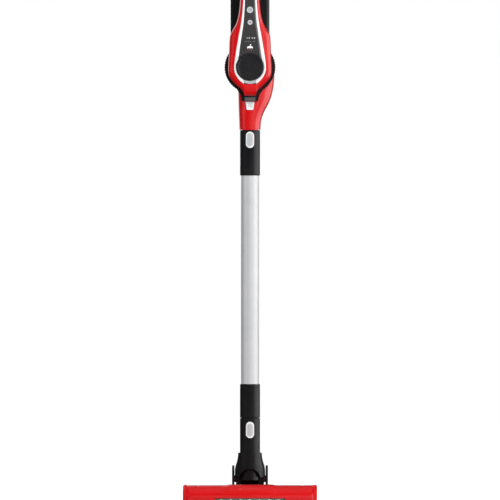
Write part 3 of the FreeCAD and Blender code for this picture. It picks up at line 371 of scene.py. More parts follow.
def piece(name, shape, slot, body, stands_for=(), paint=None, bevel=0.0, angle=35.0):
    """One finished mesh that rides on a body and stands for the CAD nodes it replaces."""
    mesh = bpy.data.meshes.new(name)
    build = bmesh.new()
    shape.fill(build)
    bmesh.ops.remove_doubles(build, verts=build.verts, dist=SAME_POINT * MM)
    bmesh.ops.recalc_face_normals(build, faces=build.faces)
    build.to_mesh(mesh)
    build.free()
    thing = placed(name, mesh)
    mesh.shade_smooth()
    mesh.set_sharp_from_angle(angle=math.radians(angle))
    mesh.materials.append(paint or PAINTS[slot])
    if bevel:
        soften(thing, bevel)
    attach(thing, body)
    if stands_for:
        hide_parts(*stands_for)
    return thing


def soften(thing, width, angle=40.0):
    """Round the sharp edges a little, so that they catch the light."""
    edge = thing.modifiers.new("soft_edges", "BEVEL")
    edge.width = width * MM
    edge.segments = 2
    edge.limit_method = "ANGLE"
    edge.angle_limit = math.radians(angle)
    edge.harden_normals = True


def carve(thing, low, high):
    """Cut a box-shaped pocket, given by two corners, out of a closed mesh."""
    shape = Shape()
    shape.block(low, high)
    mesh = bpy.data.meshes.new("cutter")
    mesh.from_pydata([Vector(p) * MM for p in shape.points], [], shape.faces)
    cutter = placed("cutter", mesh)
    cut = thing.modifiers.new("pocket", "BOOLEAN")
    cut.object = cutter
    cut.solver = "EXACT"
    cut.use_self = True
    bpy.context.view_layer.update()
    graph = bpy.context.evaluated_depsgraph_get()
    thing.data = bpy.data.meshes.new_from_object(thing.evaluated_get(graph))
    thing.modifiers.remove(cut)
    bpy.data.objects.remove(cutter)


def evenly(path, count):
    """Points evenly spaced along a path of straight steps."""
    path = [Vector(p) for p in path]
    run = [0.0]
    for one, two in zip(path, path[1:]):
        run.append(run[-1] + (two - one).length)
    made, step = [], 0
    for n in range(count):
        goal = run[-1] * n / (count - 1)
        while step < len(path) - 2 and run[step + 1] < goal:
            step += 1
        span = run[step + 1] - run[step] or 1.0
        made.append(path[step].lerp(path[step + 1], (goal - run[step]) / span))
    return made


def smooth_path(points, count, steps=12):
    """A smooth curve through the points, evenly spaced."""
    ends = [Vector(p) for p in [points[0]] + list(points) + [points[-1]]]
    fine = []
    for a, b, c, d in zip(ends, ends[1:], ends[2:], ends[3:]):
        for step in range(steps):
            t = step / steps
            fine.append(0.5 * (2 * b + (c - a) * t + (2 * a - 5 * b + 4 * c - d) * t ** 2
                               + (3 * b - a - 3 * c + d) * t ** 3))
    return evenly(fine + [ends[-1]], count)


def whole(half):
    """A right-hand half outline from bottom to top, with its mirror image after it."""
    return half + [Vector((-x, z)) for x, z in reversed(half)]


# ------------------------------------------------------------------ hand unit front

# Half outlines seen from the front, as (x, height), from the latch upwards
SHELL_SIDE = [(12.0, 831.6), (12.6, 837.5), (16.6, 843.4), (24.2, 850.4), (33.2, 858.8), (40.4, 868.0),
              (43.3, 878.0), (43.6, 888.0), (42.8, 904.0), (41.8, 922.0), (41.2, 940.0), (39.6, 953.0),
              (33.5, 964.5), (26.5, 978.0), (21.8, 998.0), (19.6, 1022.0), (18.8, 1040.0), (18.0, 1045.4),
              (15.6, 1048.0)]
TRIM_SIDE = [(12.4, 855.0), (20.5, 862.0), (27.6, 871.0), (31.4, 881.5), (31.8, 892.0), (30.6, 904.0),
             (28.2, 920.0), (25.2, 938.0), (22.4, 954.0), (18.9, 972.0), (15.9, 994.0), (14.0, 1018.0),
             (12.6, 1040.0)]
PANEL_SIDE = [(23.7, 903.2), (22.0, 911.0), (20.3, 924.0), (18.0, 940.0), (15.5, 956.0), (13.0, 974.0),
              (11.0, 995.0), (10.0, 1016.0), (9.4, 1036.0)]
SHELL_FOOT, SHELL_TOP = 831.6, 1048.0
TRIM_FOOT, TRIM_TOP = 855.0, 1040.0
PANEL_TOP = 1036.0
CAP_HEIGHT = 888.8
CAP_RADIUS = 27.3
CAP_ROOM = 27.7
# Turn about the cap, from straight down, where the white surround ends and the display begins
DISPLAY_TURN = 121
PANEL_FACE = -80.6
WELL_FLOOR = -76.4
WELL_STEPS = 40
# Height and radius of the display's two buttons, and the gap round each in its well
KEYS = {"power_button": (1003.0, 6.4), "mode_button": (978.0, 4.9)}
KEY_GAP = 0.25
# How fully the shell's sides round over; 1 is a quarter of an ellipse and less is squarer
DOME_POWER = 0.85
SIDE_STEPS, EDGE_STEPS = 96, 8


def make_top_shell():
    """Red shell: sides that roll over in a full curve to the white surround, with a thin inner wall."""
    outer = (evenly([(0, SHELL_FOOT), (12, SHELL_FOOT)], EDGE_STEPS) + smooth_path(SHELL_SIDE, SIDE_STEPS)
             + evenly([(15.6, SHELL_TOP), (0, SHELL_TOP)], EDGE_STEPS))
    inner = (evenly([(0, TRIM_FOOT), (12.4, TRIM_FOOT)], EDGE_STEPS) + smooth_path(TRIM_SIDE, SIDE_STEPS)
             + evenly([(12.6, TRIM_TOP + 0.2), (0, TRIM_TOP + 0.2)], EDGE_STEPS))
    outer, inner = whole(outer), whole(inner)
    rear, shoulder, face, lip, wall, turns = -45.6, -62.0, -79.0, 2.6, 2.2, 12
    # Share of the way from the outer to the inner outline, depth, and how far inside the wall
    profile = [(0.0, rear, 0.0), (0.0, shoulder, 0.0)]
    for step in range(1, turns + 1):
        turn = math.radians(90 * step / turns)
        across, forward = math.cos(turn) ** DOME_POWER, math.sin(turn) ** DOME_POWER
        profile.append((1 - across, shoulder + (face - shoulder) * forward, 0.0))
    profile += [(1.0, face + lip, 0.0), (0.0, shoulder, wall), (0.0, rear, wall)]
    rows = []
    for share, y, inset in profile:
        ring = []
        for p, q in zip(outer, inner):
            at = p.lerp(q, share) + (q - p).normalized() * inset
            ring.append((at.x, y, at.y))
        rows.append(ring)
    shape = Shape()
    shape.skin(rows, close=True)
    piece("shell_red_top", shape, "shell_red", "hand_unit", ["top_shell"], angle=50)


def trim_inner_side():
    """Inner edge of the white surround: round the cap, then up the display with a small gap."""
    start, end, steps, gap = math.asin(TRIM_SIDE[0][0] / CAP_ROOM), math.radians(DISPLAY_TURN), 12, 0.25
    turns = [start + (end - start) * n / steps for n in range(steps + 1)]
    arc = [(CAP_ROOM * math.sin(turn), CAP_HEIGHT - CAP_ROOM * math.cos(turn)) for turn in turns]
    return arc + [(x + gap, z) for x, z in PANEL_SIDE[1:]]


def make_trim():
    """White surround with a rounded section, open at the bottom where the clip sits."""
    outer = smooth_path([(x - 0.15, z) for x, z in TRIM_SIDE], SIDE_STEPS)
    outer += evenly([(12.45, TRIM_TOP), (0, TRIM_TOP)], EDGE_STEPS)
    inner = smooth_path(trim_inner_side(), SIDE_STEPS)
    inner += evenly([(9.65, PANEL_TOP + 0.2), (0, PANEL_TOP + 0.2)], EDGE_STEPS)
    outer, inner = whole(outer), whole(inner)
    # Share of the way from the outer to the inner edge, and depth
    section = [(0.0, -76.0), (0.0, -78.7), (0.05, -79.5), (0.16, -80.05), (0.4, -80.35), (0.65, -80.35),
               (0.86, -80.1), (0.96, -79.6), (1.0, -78.9), (1.0, -76.0)]
    rows = []
    for share, y in section:
        across = [p.lerp(q, share) for p, q in zip(outer, inner)]
        rows.append([(at.x, y, at.y) for at in across])
    shape = Shape()
    made = shape.skin(rows, loop=False, close=True)
    shape.cap([row[0] for row in made])
    shape.cap([row[-1] for row in made])
    piece("trim_surround", shape, "trim_white", "hand_unit", ["trim_bezel"], angle=50)


def make_trim_clip():
    """Satin clip under the cap: its top follows the cap's rim and its foot is a wider arc."""
    spread, steps, bend = 42.0, 12, 1.24
    top_reach, foot_reach, foot = 33.3666, 33.4, 33.5
    arc = [math.radians(spread * (n / steps - 0.5)) for n in range(steps + 1)]
    top = [(top_reach * math.sin(a), CAP_HEIGHT - CAP_ROOM * math.cos(a * bend)) for a in arc]
    low = [(foot_reach * math.sin(a), CAP_HEIGHT - foot * math.cos(a)) for a in reversed(arc)]
    clip = Shape()
    clip.prism(top + low, -80.9, -76.2)
    piece("trim_clip_plate", clip, "clip_grey", "hand_unit", ["trim_clip"], bevel=0.5)


def make_display():
    """Black display with sloping flanks and round wells for its two buttons."""
    span, steps, flank = 360 - 2 * DISPLAY_TURN, 24, 2.1
    arc = [math.radians(DISPLAY_TURN + span * n / steps) for n in range(steps + 1)]
    low = [Vector((CAP_ROOM * math.sin(a), CAP_HEIGHT - CAP_ROOM * math.cos(a))) for a in reversed(arc)]
    sides = whole(smooth_path(PANEL_SIDE, 60))
    slim = [Vector((at.x - math.copysign(flank, at.x), min(at.y, PANEL_TOP - flank))) for at in sides]
    outline, inset = sides + low[1:-1], slim + low[1:-1]
    shape = Shape()
    rows = shape.skin([[(p.x, y, p.y) for p in line]
                       for line, y in ((outline, -76.2), (outline, -79.3), (inset, PANEL_FACE))])
    shape.cap(rows[0])
    mesh = bpy.data.meshes.new("display_face")
    build = bmesh.new()
    corners = shape.fill(build)
    rim = [build.edges.get((corners[a], corners[b])) for a, b in zip(rows[2], rows[2][1:] + rows[2][:1])]
    for height, radius in KEYS.values():
        mouth, floor = ([build.verts.new(Vector((x, y, z)) * MM)
                         for x, z in dot(0, height, radius + KEY_GAP, WELL_STEPS)]
                        for y in (PANEL_FACE, WELL_FLOOR))
        for i in range(WELL_STEPS):
            after = (i + 1) % WELL_STEPS
            build.faces.new((mouth[i], mouth[after], floor[after], floor[i]))
        build.faces.new(floor)
        rim += [build.edges.get((mouth[i], mouth[(i + 1) % WELL_STEPS])) for i in range(WELL_STEPS)]
    bmesh.ops.triangle_fill(build, use_beauty=True, use_dissolve=False, edges=rim)
    bmesh.ops.recalc_face_normals(build, faces=build.faces)
    build.to_mesh(mesh)
    build.free()
    mesh.materials.append(PAINTS["panel_black"])
    panel = placed("display_face", mesh)
    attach(panel, "hand_unit")
    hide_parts("display_panel")


def mark(name, outlines, paint):
    """Thin lit shapes on the display, slightly sunk into it."""
    rise, sink = 0.12, 0.1
    shape = Shape()
    for outline in outlines:
        shape.prism(outline, PANEL_FACE - rise, PANEL_FACE + sink)
    piece(name, shape, "panel_black", "hand_unit", paint=paint)


def dot(x, z, radius, steps=14):
    """Round outline about a point."""
    return [(x + radius * math.cos(math.tau * n / steps), z + radius * math.sin(math.tau * n / steps))
            for n in range(steps)]


def bar(x, z, width, height):
    """Upright rectangle about a point."""
    w, h = width / 2, height / 2
    return [(x - w, z - h), (x + w, z - h), (x + w, z + h), (x - w, z + h)]


def make_marks():
    """Charge lights, a dim scale under them, a small floor-tool sign and a faint red light."""
    light_height, scale_height, brush_height = 946.8, 940.0, 926.2
    mark("charge_light_low", [dot(-5.8, light_height, 1.0)], MARK_GREEN)
    mark("charge_lights", [dot(x, light_height, 0.95) for x in (-1.4, 4.6, 9.0)], MARK_WHITE)
    scale = [bar(x, scale_height, 1.6, 0.8) for x in (-9.5, -6.2, -2.9, 0.4, 6.4, 9.4)]
    mark("scale_marks", scale, MARK_DIM)
    stem = [(-0.7, 930.4), (0.7, 930.4), (2.3, 934.6), (0.7, 934.6)]
    foot = [(-6.2, 927.4), (6.2, 927.4), (4.4, 930.0), (-4.4, 930.0)]
    brush = [bar(x, brush_height, 1.1, 1.0) for x in (-4.6, -1.5, 1.6, 4.6)]
    mark("tool_sign", [stem, foot] + brush, MARK_WHITE)
    mark("warning_light", [bar(-2.6, 923.2, 3.2, 0.8), bar(2.4, 922.8, 2.6, 0.8)], MARK_RED)


def make_cap():
    """Round cap: rounded rim, then a slightly crowned face turned in fine rings."""
    dish, front, ripple, crown, rings = 22.8, -83.8, 0.035, 0.25, 60
    outline = [(CAP_RADIUS, -76.0), (CAP_RADIUS, -82.4), (27.0, -83.5), (26.2, -84.4), (25.2, -84.8),
               (24.2, -84.8), (23.4, -84.4), (dish, -83.9)]
    for n in range(1, rings + 1):
        radius = dish * (1 - n / rings)
        outline.append((radius, front + ripple * (n % 2) - crown * (1 - radius / dish)))
    shape = Shape()
    rows = shape.turned(outline, "Y", (0, 0, CAP_HEIGHT), 128)
    shape.cap(rows[0])
    piece("cap_disc", shape, "cap_black", "hand_unit", ["motor_cap"], angle=20)


def spin_gloss(material, amount):
    """Draw a material's gloss out round the Y axis, as turning leaves it."""
    tree = material.node_tree
    skin = tree.nodes["Principled BSDF"]
    skin.inputs["Anisotropic"].default_value = amount
    turn = add(tree, "Tangent", direction_type="RADIAL", axis="Y").outputs[0]
    tree.links.new(turn, skin.inputs["Tangent"])


def make_keys():
    """The two round buttons of the display, each dished with a raised generic sign."""
    front, back, pen = -81.35, -80.8, 0.3
    ring, start, sweep, steps = 2.5, 125, 290, 20
    for body, (height, radius) in KEYS.items():
        shape = Shape()
        rows = shape.turned([(radius, -77.8), (radius, -80.7), (radius - 0.25, -81.15),
                             (radius - 0.8, -81.4), (radius - 1.4, -81.3), (radius - 2.2, -81.05),
                             (0, -80.9)], "Y", (0, 0, height), 64)
        shape.cap(rows[0])
        piece(body + "_cap", shape, "key_grey", body, [body])
        sign = Shape()
        if body == "power_button":
            for n in range(steps + 1):
                turn = math.radians(start + sweep * n / steps)
                x, z = ring * math.cos(turn), height + ring * math.sin(turn)
                sign.block((x - pen, front, z - pen), (x + pen, back, z + pen))
            sign.block((-pen, front, height + 0.4), (pen, back, height + 3.3))
        else:
            for side in (-1, 1):
                sign.prism([(side * 0.4, height - 1.4), (side * 2.2, height), (side * 0.4, height + 1.4)],
                           front + 0.05, back)
        piece(body + "_sign", sign, "key_grey", body, paint=PAINTS["cap_black"])


def make_latch():
    """Release bar between the frame's ends, with finger ridges."""
    shape = Shape()
    shape.block((-10.8, -51.2, 821.8), (10.8, -46.6, 829.2))
    first, pitch, thick, half = 823.3, 1.9, 0.9, 9.4
    for n in range(3):
        z = first + pitch * n
        shape.block((-half, -52.0, z), (half, -51.0, z + thick))
    piece("latch_bar", shape, "clip_grey", "container_latch", ["container_latch"], paint=LATCH_GREY,
          bevel=0.25)


def make_tab():
    """White catch tab below the release bar: a raised rim round a slightly darker inlay."""
    low, high = box_mm("catch_tab")
    front, back = low[1], high[1]
    edge = [(-6.4, low[2]), (6.4, low[2]), (9.0, high[2]), (-9.0, high[2])]
    well = [(-4.3, low[2] + 4.6), (4.3, low[2] + 4.6), (5.2, high[2] - 0.8), (-5.2, high[2] - 0.8)]
    tab = Shape()
    rows = tab.skin([[(x, y, z) for x, z in line]
                     for line, y in ((edge, back), (edge, front), (well, front), (well, front + 0.8))])
    tab.cap_ends(rows)
    piece("tab_rim", tab, "tab_white", "dust_container", ["catch_tab"], bevel=0.35)
    inlay = Shape()
    inlay.prism([(x * 0.97, z) for x, z in well], front + 0.5, front + 0.9)
    piece("tab_inlay", inlay, "key_grey", "dust_container", paint=TAB_SHADE)


def make_grip_ribs():
    """Low rounded ribs across the soft pad on the finger side of the grip."""
    pad = nodes["grip_pad"]
    low, high = box_mm("grip_pad")
    half, pitch, margin, below, steepest = 7.8, 3.6, 3.0, 20.0, 0.4
    wide, tall, sunk, taper = 0.85, 0.75, 0.1, 0.8
    shape = Shape()
    for n in range(int((high[1] - low[1] - 2 * margin) / pitch) + 1):
        start = Vector((0.5, low[1] + margin + n * pitch, low[2] - below)) * MM
        met, at, normal, _ = pad.ray_cast(start, Vector((0, 0, 1)))
        if not met or abs(normal.z) < steepest:
            continue
        at, out = at / MM, Vector((0, normal.y, normal.z)).normalized()
        along = Vector((0, -out.z, out.y))
        rows = []
        for x, share in ((-half, 0.4), (-half + taper, 1.0), (half - taper, 1.0), (half, 0.4)):
            rows.append([Vector((x, at.y, at.z)) + along * wide * share * math.cos(turn)
                         + out * (tall * share * math.sin(turn) - sunk)
                         for turn in (math.pi * k / 8 for k in range(9))])
        shape.cap_ends(shape.skin(rows))
    piece("grip_ribs", shape, "grip_rubber", "hand_unit", angle=50)


# ------------------------------------------------------------------ collar buttons

def stadium(width, straight, steps=24):
    """Half circle over half circle, as (x, height) about the middle."""
    top = [(width * math.cos(math.pi * n / steps), straight + width * math.sin(math.pi * n / steps))
           for n in range(steps + 1)]
    return top + [(-x, -z) for x, z in top]


def make_press_button(name):
    """Long rounded button wrapped on the collar: raised white rim, grey inlay and small grip dots."""
    low, high = box_mm(name)
    radius = -low[1]
    width, length = (high[0] - low[0]) / 2, (high[2] - low[2]) / 2
    middle, straight = (high[2] + low[2]) / 2, length - width
    inlay = 0.74
    # Share of the full outline, and height above the button's face
    rim_profile = [(0.02, -1.9), (0.5, -1.9), (1.0, -1.9), (1.0, -0.55), (0.985, -0.25), (0.95, -0.06),
                   (0.88, 0.0), (0.80, -0.06), (inlay, -0.3), (inlay, -0.8), (0.4, -0.8), (0.02, -0.8)]
    inlay_profile = [(inlay, -1.0), (inlay, -0.34), (inlay - 0.03, -0.26), (0.5, -0.3), (0.25, -0.34),
                     (0.02, -0.36)]
    outline = stadium(width, straight)
    for part, profile, slot in (("_pad", rim_profile, "tab_white"), ("_inlay", inlay_profile, "key_grey")):
        shape = Shape()
        rows = []
        for scale, lift in profile:
            ring = []
            for x, z in outline:
                side, reach = x * scale, radius + lift
                end = math.copysign(straight, z)
                along = end * min(1, scale * 1.2) + (z - end) * scale
                ring.append((side, -math.sqrt(reach ** 2 - side ** 2), middle + along))
            rows.append(ring)
        shape.cap_ends(shape.skin(rows))
        piece(name + part, shape, slot, name, [name] if part == "_pad" else (), angle=45)
    dots = Shape()
    pitch, row_share, columns, room, sunk = 1.9, 0.86, 5, width * inlay - 0.9, 0.33
    rows = int((length - 2.0) / pitch)
    for row in range(-rows, rows + 1):
        for column in range(columns):
            x = (column - columns // 2 + 0.5 * (row % 2)) * pitch
            z = row * pitch * row_share
            if math.hypot(x, max(0, abs(z) - straight)) > room:
                continue
            face = -math.sqrt((radius - sunk) ** 2 - x ** 2)
            dots.turned([(0.58, face + 0.2), (0.54, face - 0.08), (0.36, face - 0.22), (0, face - 0.27)],
                        "Y", (x, 0, middle + z), 10)
    piece(name + "_dots", dots, "key_grey", name, paint=PAINTS["clip_grey"])


# ------------------------------------------------------------------ dust container

def make_screen():
    """Perforated steel cyclone screen with its solid rim and cone."""
    radius, front, rear, sheet, rim = 38.2, -7.6, 38.0, 0.6, 44.8
    columns, rows, hole = 96, 16, 0.62
    step = (rear - front) / rows
    shape = Shape()
    for row in range(rows):
        for column in range(columns):
            turn, y = math.tau * (column + 0.5) / columns, front + step * (row + 0.5)
            frames = []
            for share in (0.5, 0.5 * hole):
                corners = [(turn + math.tau / columns * share * a, y + step * share * b)
                           for a, b in ((-1, -1), (1, -1), (1, 1), (-1, 1))]
                frames.append([(radius * math.cos(a), b, CAP_HEIGHT + radius * math.sin(a))
                               for a, b in corners])
            shape.skin(frames)
    net = piece("screen_net", shape, "steel", "dust_container", ["cyclone_screen"], angle=60)
    thick = net.modifiers.new("sheet", "SOLIDIFY")
    thick.thickness = sheet * MM
    ends = Shape()
    ends.turned([(37.4, -9.4), (rim, -9.4), (rim, -7.6), (38.3, -7.6), (37.4, -7.6), (37.4, -9.4)], "Y",
                (0, 0, CAP_HEIGHT), 96)
    ends.turned([(37.6, 37.4), (38.6, 37.4), (38.6, 39.0), (22.4, 54.0), (20.0, 54.4), (0, 54.4), (0, 53.4),
                 (20, 53.4), (37.6, 38.4), (37.6, 37.4)], "Y", (0, 0, CAP_HEIGHT), 96)
    piece("screen_ends", ends, "body_black", "dust_container", angle=30)


def make_lid():
    """Container lid: stepped rings, radial ribs and a turned centre, with its hinge knuckle."""
    shape = Shape()
    shape.turned([(0, 73.4), (47, 73.4), (47, 76.2), (46.2, 77.4), (44.6, 78.0), (42.0, 78.0), (41.4, 77.2),
                  (36.0, 77.2), (35.4, 78.0), (33.6, 78.0), (33.0, 76.4), (12.2, 76.4), (11.6, 77.6),
                  (10.6, 77.8), (9.6, 77.2), (0, 77.2)], "Y", (0, 0, CAP_HEIGHT), 128)
    ribs, thick, near, far = 12, 0.8, 11.8, 33.3
    centre = Vector((0, CAP_HEIGHT))
    for n in range(ribs):
        turn = math.tau * n / ribs
        along = Vector((math.cos(turn), math.sin(turn)))
        across = Vector((-along.y, along.x)) * thick
        ends = ((near, -1), (far, -1), (far, 1), (near, 1))
        shape.prism([centre + along * r + across * k for r, k in ends], 76.0, 77.5)
    hinge_y, hinge_z, reach, knuckle = 76.0, 941.0, 9.7, 3.0
    shape.turned([(0, -reach), (knuckle, -reach), (knuckle, reach), (0, reach)], "X",
                 (0, hinge_y, hinge_z), 32)
    shape.block((-reach, hinge_y - 2.4, hinge_z - 8.0), (reach, hinge_y + 2.0, hinge_z))
    piece("lid_disc", shape, "body_black", "container_lid", ["container_lid"], bevel=0.25, angle=30)


# ------------------------------------------------------------------ floor head

def make_bristles():
    """Tufts of bristles set along helical rows on the roller, each bristle a thin three-sided spike."""
    centre_y, centre_z, root, reach = -84.0, 24.5, 13.9, 22.3
    strips, tufts, hairs, sweep = 4, 54, 9, math.radians(80)
    inner_end, length, thin, tip_share = 3, 105, 0.26, 0.6
    chance = random.Random(7)
    shape = Shape()
    for strip, side, tuft in itertools.product(range(strips), (-1, 1), range(tufts)):
        share = tuft / (tufts - 1)
        angle = math.tau / strips * strip + sweep * share
        along = side * (inner_end + length * share)
        for _ in range(hairs):
            lean = angle + chance.uniform(-0.085, 0.085)
            tip = lean + chance.uniform(-0.05, 0.05)
            x0 = along + chance.uniform(-0.8, 0.8)
            x1 = x0 + chance.uniform(-0.9, 0.9)
            end = reach - chance.uniform(0, 0.7)
            rows = []
            for x, turn, radius, width in ((x0, lean, root, thin), (x1, tip, end, thin * tip_share)):
                out = Vector((0, math.cos(turn), math.sin(turn)))
                across = Vector((0, -math.sin(turn), math.cos(turn))) * width
                at = Vector((x, centre_y, centre_z)) + out * radius
                back = Vector((width / 2, 0, 0))
                rows.append([at + 2 * back, at + across - back, at - across - back])
            made = shape.skin(rows)
            shape.cap(made[1])
    piece("bristle_tufts", shape, "bristle_red", "roller", ["roller_bristles"], angle=80)


def head_section():
    """Side outline of the cover as (y, z), rounded, from the front foot over the top to the rear foot."""
    corners = [(-115.0, 9.0), (-115.0, 36.0), (-106.0, 47.0), (-91.0, 55.9), (-40.0, 55.9), (-12.0, 47.0),
               (-6.0, 40.0), (-6.0, 9.0)]
    widest, steps, count = 7.0, 8, 150
    path = [Vector(corners[0])]
    for before, at, after in zip(corners, corners[1:], corners[2:]):
        at = Vector(at)
        back, ahead = (Vector(before) - at), (Vector(after) - at)
        cut = min(widest, back.length * 0.48, ahead.length * 0.48)
        one, two = at + back.normalized() * cut, at + ahead.normalized() * cut
        for n in range(steps + 1):
            t = n / steps
            path.append(one * (1 - t) ** 2 + at * 2 * t * (1 - t) + two * t ** 2)
    path.append(Vector(corners[-1]))
    return evenly(path, count)


def make_head_cover():
    """Red cover of the floor head: raised middle, scored lines, a lamp slot and a notch for the duct."""
    section = head_section()
    half, steps, wall = 126.0, 84, 2.0
    lamp_half, lamp_foot, lamp_top, lamp_rear = 70.0, 20, 29, -100
    notch_half, notch_top, notch_front = 36.3, 38.3, -12
    top_from, step_at, step_drop, score = 40, 47, 1.5, 0.9
    side_score, cross_score, cross_ends = 104, -62, (50, 101)
    stations = sorted({round(-half + 2 * half * n / steps, 3) for n in range(steps + 1)}
                      | {-lamp_half, lamp_half, -notch_half, notch_half})
    rows = []
    for x in stations:
        row = []
        for n, at in enumerate(section):
            if 0 < n < len(section) - 1:
                tangent = (section[n + 1] - section[n - 1]).normalized()
            else:
                tangent = Vector((0, 1))
            inward = Vector((tangent.y, -tangent.x))
            dip = 0.0
            if at.y > top_from:
                dip += step_drop / (1 + math.exp(-(abs(x) - step_at) / 1.6))
                dip += score * math.exp(-((abs(x) - side_score) / 1.3) ** 2)
                if cross_ends[0] < abs(x) < cross_ends[1]:
                    dip += score * math.exp(-((at.x - cross_score) / 1.2) ** 2)
            at = at + inward * dip
            row.append((x, at.x, at.y))
        rows.append(row)

    def open_here(middle):
        """Whether a face lies in the lamp slot at the front or in the duct's notch at the rear."""
        lamp = abs(middle.x) < lamp_half and lamp_foot < middle.z < lamp_top and middle.y < lamp_rear
        notch = abs(middle.x) < notch_half and middle.z < notch_top and middle.y > notch_front
        return lamp or notch

    shape = Shape()
    shape.skin(rows, loop=False, skip=open_here)
    cover = piece("cover_red", shape, "shell_red", "floor_head", ["head_cover"], angle=50)
    thick = cover.modifiers.new("wall", "SOLIDIFY")
    thick.thickness = wall * MM
    thick.offset = -1.0


def make_lamps():
    """Seven small lamps on the board behind the headlight lens."""
    low, high = box_mm("headlight_board")
    front, z = low[1], (low[2] + high[2]) / 2
    count, pitch, half_width, half_height = 7, 19.0, 2.4, 2.2
    seats, domes = Shape(), Shape()
    for n in range(count):
        x = (n - count // 2) * pitch
        seats.block((x - half_width, front - 0.5, z - half_height),
                    (x + half_width, front + 0.2, z + half_height))
        domes.turned([(1.8, front - 0.4), (1.7, front - 0.9), (1.0, front - 1.3), (0, front - 1.4)], "Y",
                     (x, 0, z), 20)
    piece("lamp_seats", seats, "key_grey", "floor_head", bevel=0.15)
    piece("lamp_domes", domes, "lens_clear", "floor_head", paint=LAMP_WHITE)


def make_wheel(name):
    """Rear wheel: ribbed rubber tyre on a dished hub with five small raised rings."""
    low, high = box_mm(name)
    y, z = (low[1] + high[1]) / 2, (low[2] + high[2]) / 2
    radius = (high[1] - low[1]) / 2
    inside, outside = (low[0], high[0]) if low[0] > 0 else (high[0], low[0])
    way = 1 if outside > 0 else -1
    steps, rib, groove_depth = 144, 6, 0.55
    # Share of the way from the inner to the outer side, and depth under the tread
    section = [(0.0, 3.2), (0.0, 0.9), (0.10, 0.2), (0.22, 0.0), (0.46, 0.0), (0.5, 0.9), (0.54, 0.0),
               (0.78, 0.0), (0.90, 0.2), (1.0, 0.9), (1.0, 3.2)]
    tyre = Shape()
    rows = []
    for across, depth in section:
        ring = []
        for n in range(steps):
            turn = math.tau * n / steps
            groove = groove_depth if n % rib < 2 and depth < 0.5 else 0.0
            reach = radius - depth - groove
            ring.append((inside + (outside - inside) * across, y + reach * math.cos(turn),
                         z + reach * math.sin(turn)))
        rows.append(ring)
    tyre.skin(rows, close=True)
    piece(name + "_tyre", tyre, "grip_rubber", name, [name], angle=25)
    hub = Shape()
    rim, bore, rings, circle = radius - 3.1, 2.56, 5, 7.8
    hub.turned([(bore, inside), (rim, inside), (rim, outside - way * 0.3), (rim - 1.4, outside - way * 0.3),
                (rim - 2.0, outside - way * 1.8), (bore + 3.2, outside - way * 1.8),
                (bore + 2.4, outside), (bore, outside), (bore, inside)], "X", (0, y, z), 72)
    for n in range(rings):
        turn = math.tau * n / rings
        at = (0, y + circle * math.cos(turn), z + circle * math.sin(turn))
        hub.turned([(2.1, outside - way * 2.0), (2.1, outside - way * 1.0), (1.5, outside - way * 0.9),
                    (1.3, outside - way * 1.9)], "X", at, 24)
    piece(name + "_hub", hub, "roller_grey", name, angle=30)


# ------------------------------------------------------------------ battery

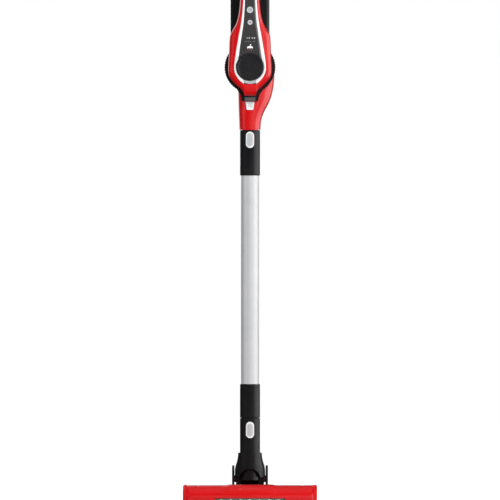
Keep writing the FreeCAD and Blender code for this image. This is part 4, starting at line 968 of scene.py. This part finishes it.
def make_battery():
    """Battery case: rounded body with side ribs and a seam, its rail, a plain panel and charge lights."""
    low, high = box_mm("battery_case")
    near, rear = 70.4, high[1] - 0.6
    seam, ribs_from, ribs, rib_pitch = near + 9.0, near + 14.0, 7, 3.2
    half, foot, top, corner, edge, edge_steps = high[0], low[2], high[2], 7.0, 6.0, 6

    def loop(inset, y):
        """Rounded rectangle seen from behind."""
        made, steps = [], 8
        reach_x, reach_z = half - corner, (top - foot) / 2 - corner
        for quarter, (sx, sz) in enumerate(((1, 1), (-1, 1), (-1, -1), (1, -1))):
            for n in range(steps + 1):
                turn = math.radians(90 * quarter + 90 * n / steps)
                made.append((sx * reach_x + (corner - inset) * math.cos(turn), y,
                             (foot + top) / 2 + sz * reach_z + (corner - inset) * math.sin(turn)))
        return made

    def groove(y, depth, slope, width):
        """Loops of a groove round the case."""
        return [loop(0.0, y), loop(depth, y + slope), loop(depth, y + width - slope), loop(0.0, y + width)]

    shape = Shape()
    rings = [loop(0.5, near), loop(0.0, near + 0.5)] + groove(seam, 0.7, 0.2, 1.1)
    for n in range(ribs):
        rings += groove(ribs_from + n * rib_pitch, 0.45, 0.5, 2.0)
    for n in range(edge_steps + 1):
        turn = math.radians(90 * n / edge_steps)
        rings.append(loop(edge * (1 - math.cos(turn)), rear - edge + edge * math.sin(turn)))
    shape.cap_ends(shape.skin(rings))
    rail_foot, rail_top = 962.0, 1074.0
    shape.block((-12.0, 62.0, rail_foot), (12.0, near + 1, rail_top))
    shape.block((-18.0, 60.6, rail_foot), (18.0, 64.0, rail_top))
    case = piece("battery_body", shape, "body_black", "battery", ["battery_case"], angle=30)
    (left, key_front, key_foot), (right, key_rear, key_top) = box_mm("battery_key")
    gap, below, above = 0.4, 2.6, 5.0
    carve(case, (left - gap, key_front - gap, key_foot - below),
          (right + gap, key_rear + gap, key_top + above))
    sunk, proud = 0.3, 0.5
    panel = Shape()
    panel.prism([(-24, 985), (24, 985), (24, 1040), (-24, 1040)], rear - sunk, rear + proud)
    piece("battery_panel", panel, "panel_black", "battery", paint=PAINTS["roller_grey"], bevel=0.2)
    lights = Shape()
    for x in (-8.0, 0.0, 8.0):
        lights.prism(bar(x, 1058.0, 5.0, 1.8), rear - sunk, rear + sunk)
    piece("battery_lights", lights, "panel_black", "battery", paint=MARK_GREEN)
    key = Shape()
    key.block((left, key_front, key_foot), (right, key_rear, key_top - 0.7))
    ridges, ridge_pitch, ridge, margin = 5, 2.6, 1.1, 2.0
    for n in range(ridges):
        y = key_front + (n + 1) * ridge_pitch
        key.block((left + margin, y, key_top - 0.9), (right - margin, y + ridge, key_top))
    piece("battery_key_cap", key, "key_grey", "battery_key", ["battery_key"], bevel=0.3)


# ------------------------------------------------------------------ everything

# CAD nodes that look different from their slot's usual surface
SPECIAL_LOOKS = {"glide_pads": "roller_grey"}

spin_gloss(PAINTS["cap_black"], 0.75)
for name, thing in nodes.items():
    thing.data.materials.clear()
    thing.data.materials.append(PAINTS[SPECIAL_LOOKS.get(name, slot_of_node[name])])

make_top_shell()
make_trim()
make_trim_clip()
make_display()
make_marks()
make_cap()
make_keys()
make_latch()
make_tab()
make_grip_ribs()
for name in ("wand_button", "neck_button"):
    make_press_button(name)
make_screen()
make_lid()
make_bristles()
make_head_cover()
make_lamps()
for name in ("wheel_left", "wheel_right"):
    make_wheel(name)
make_battery()
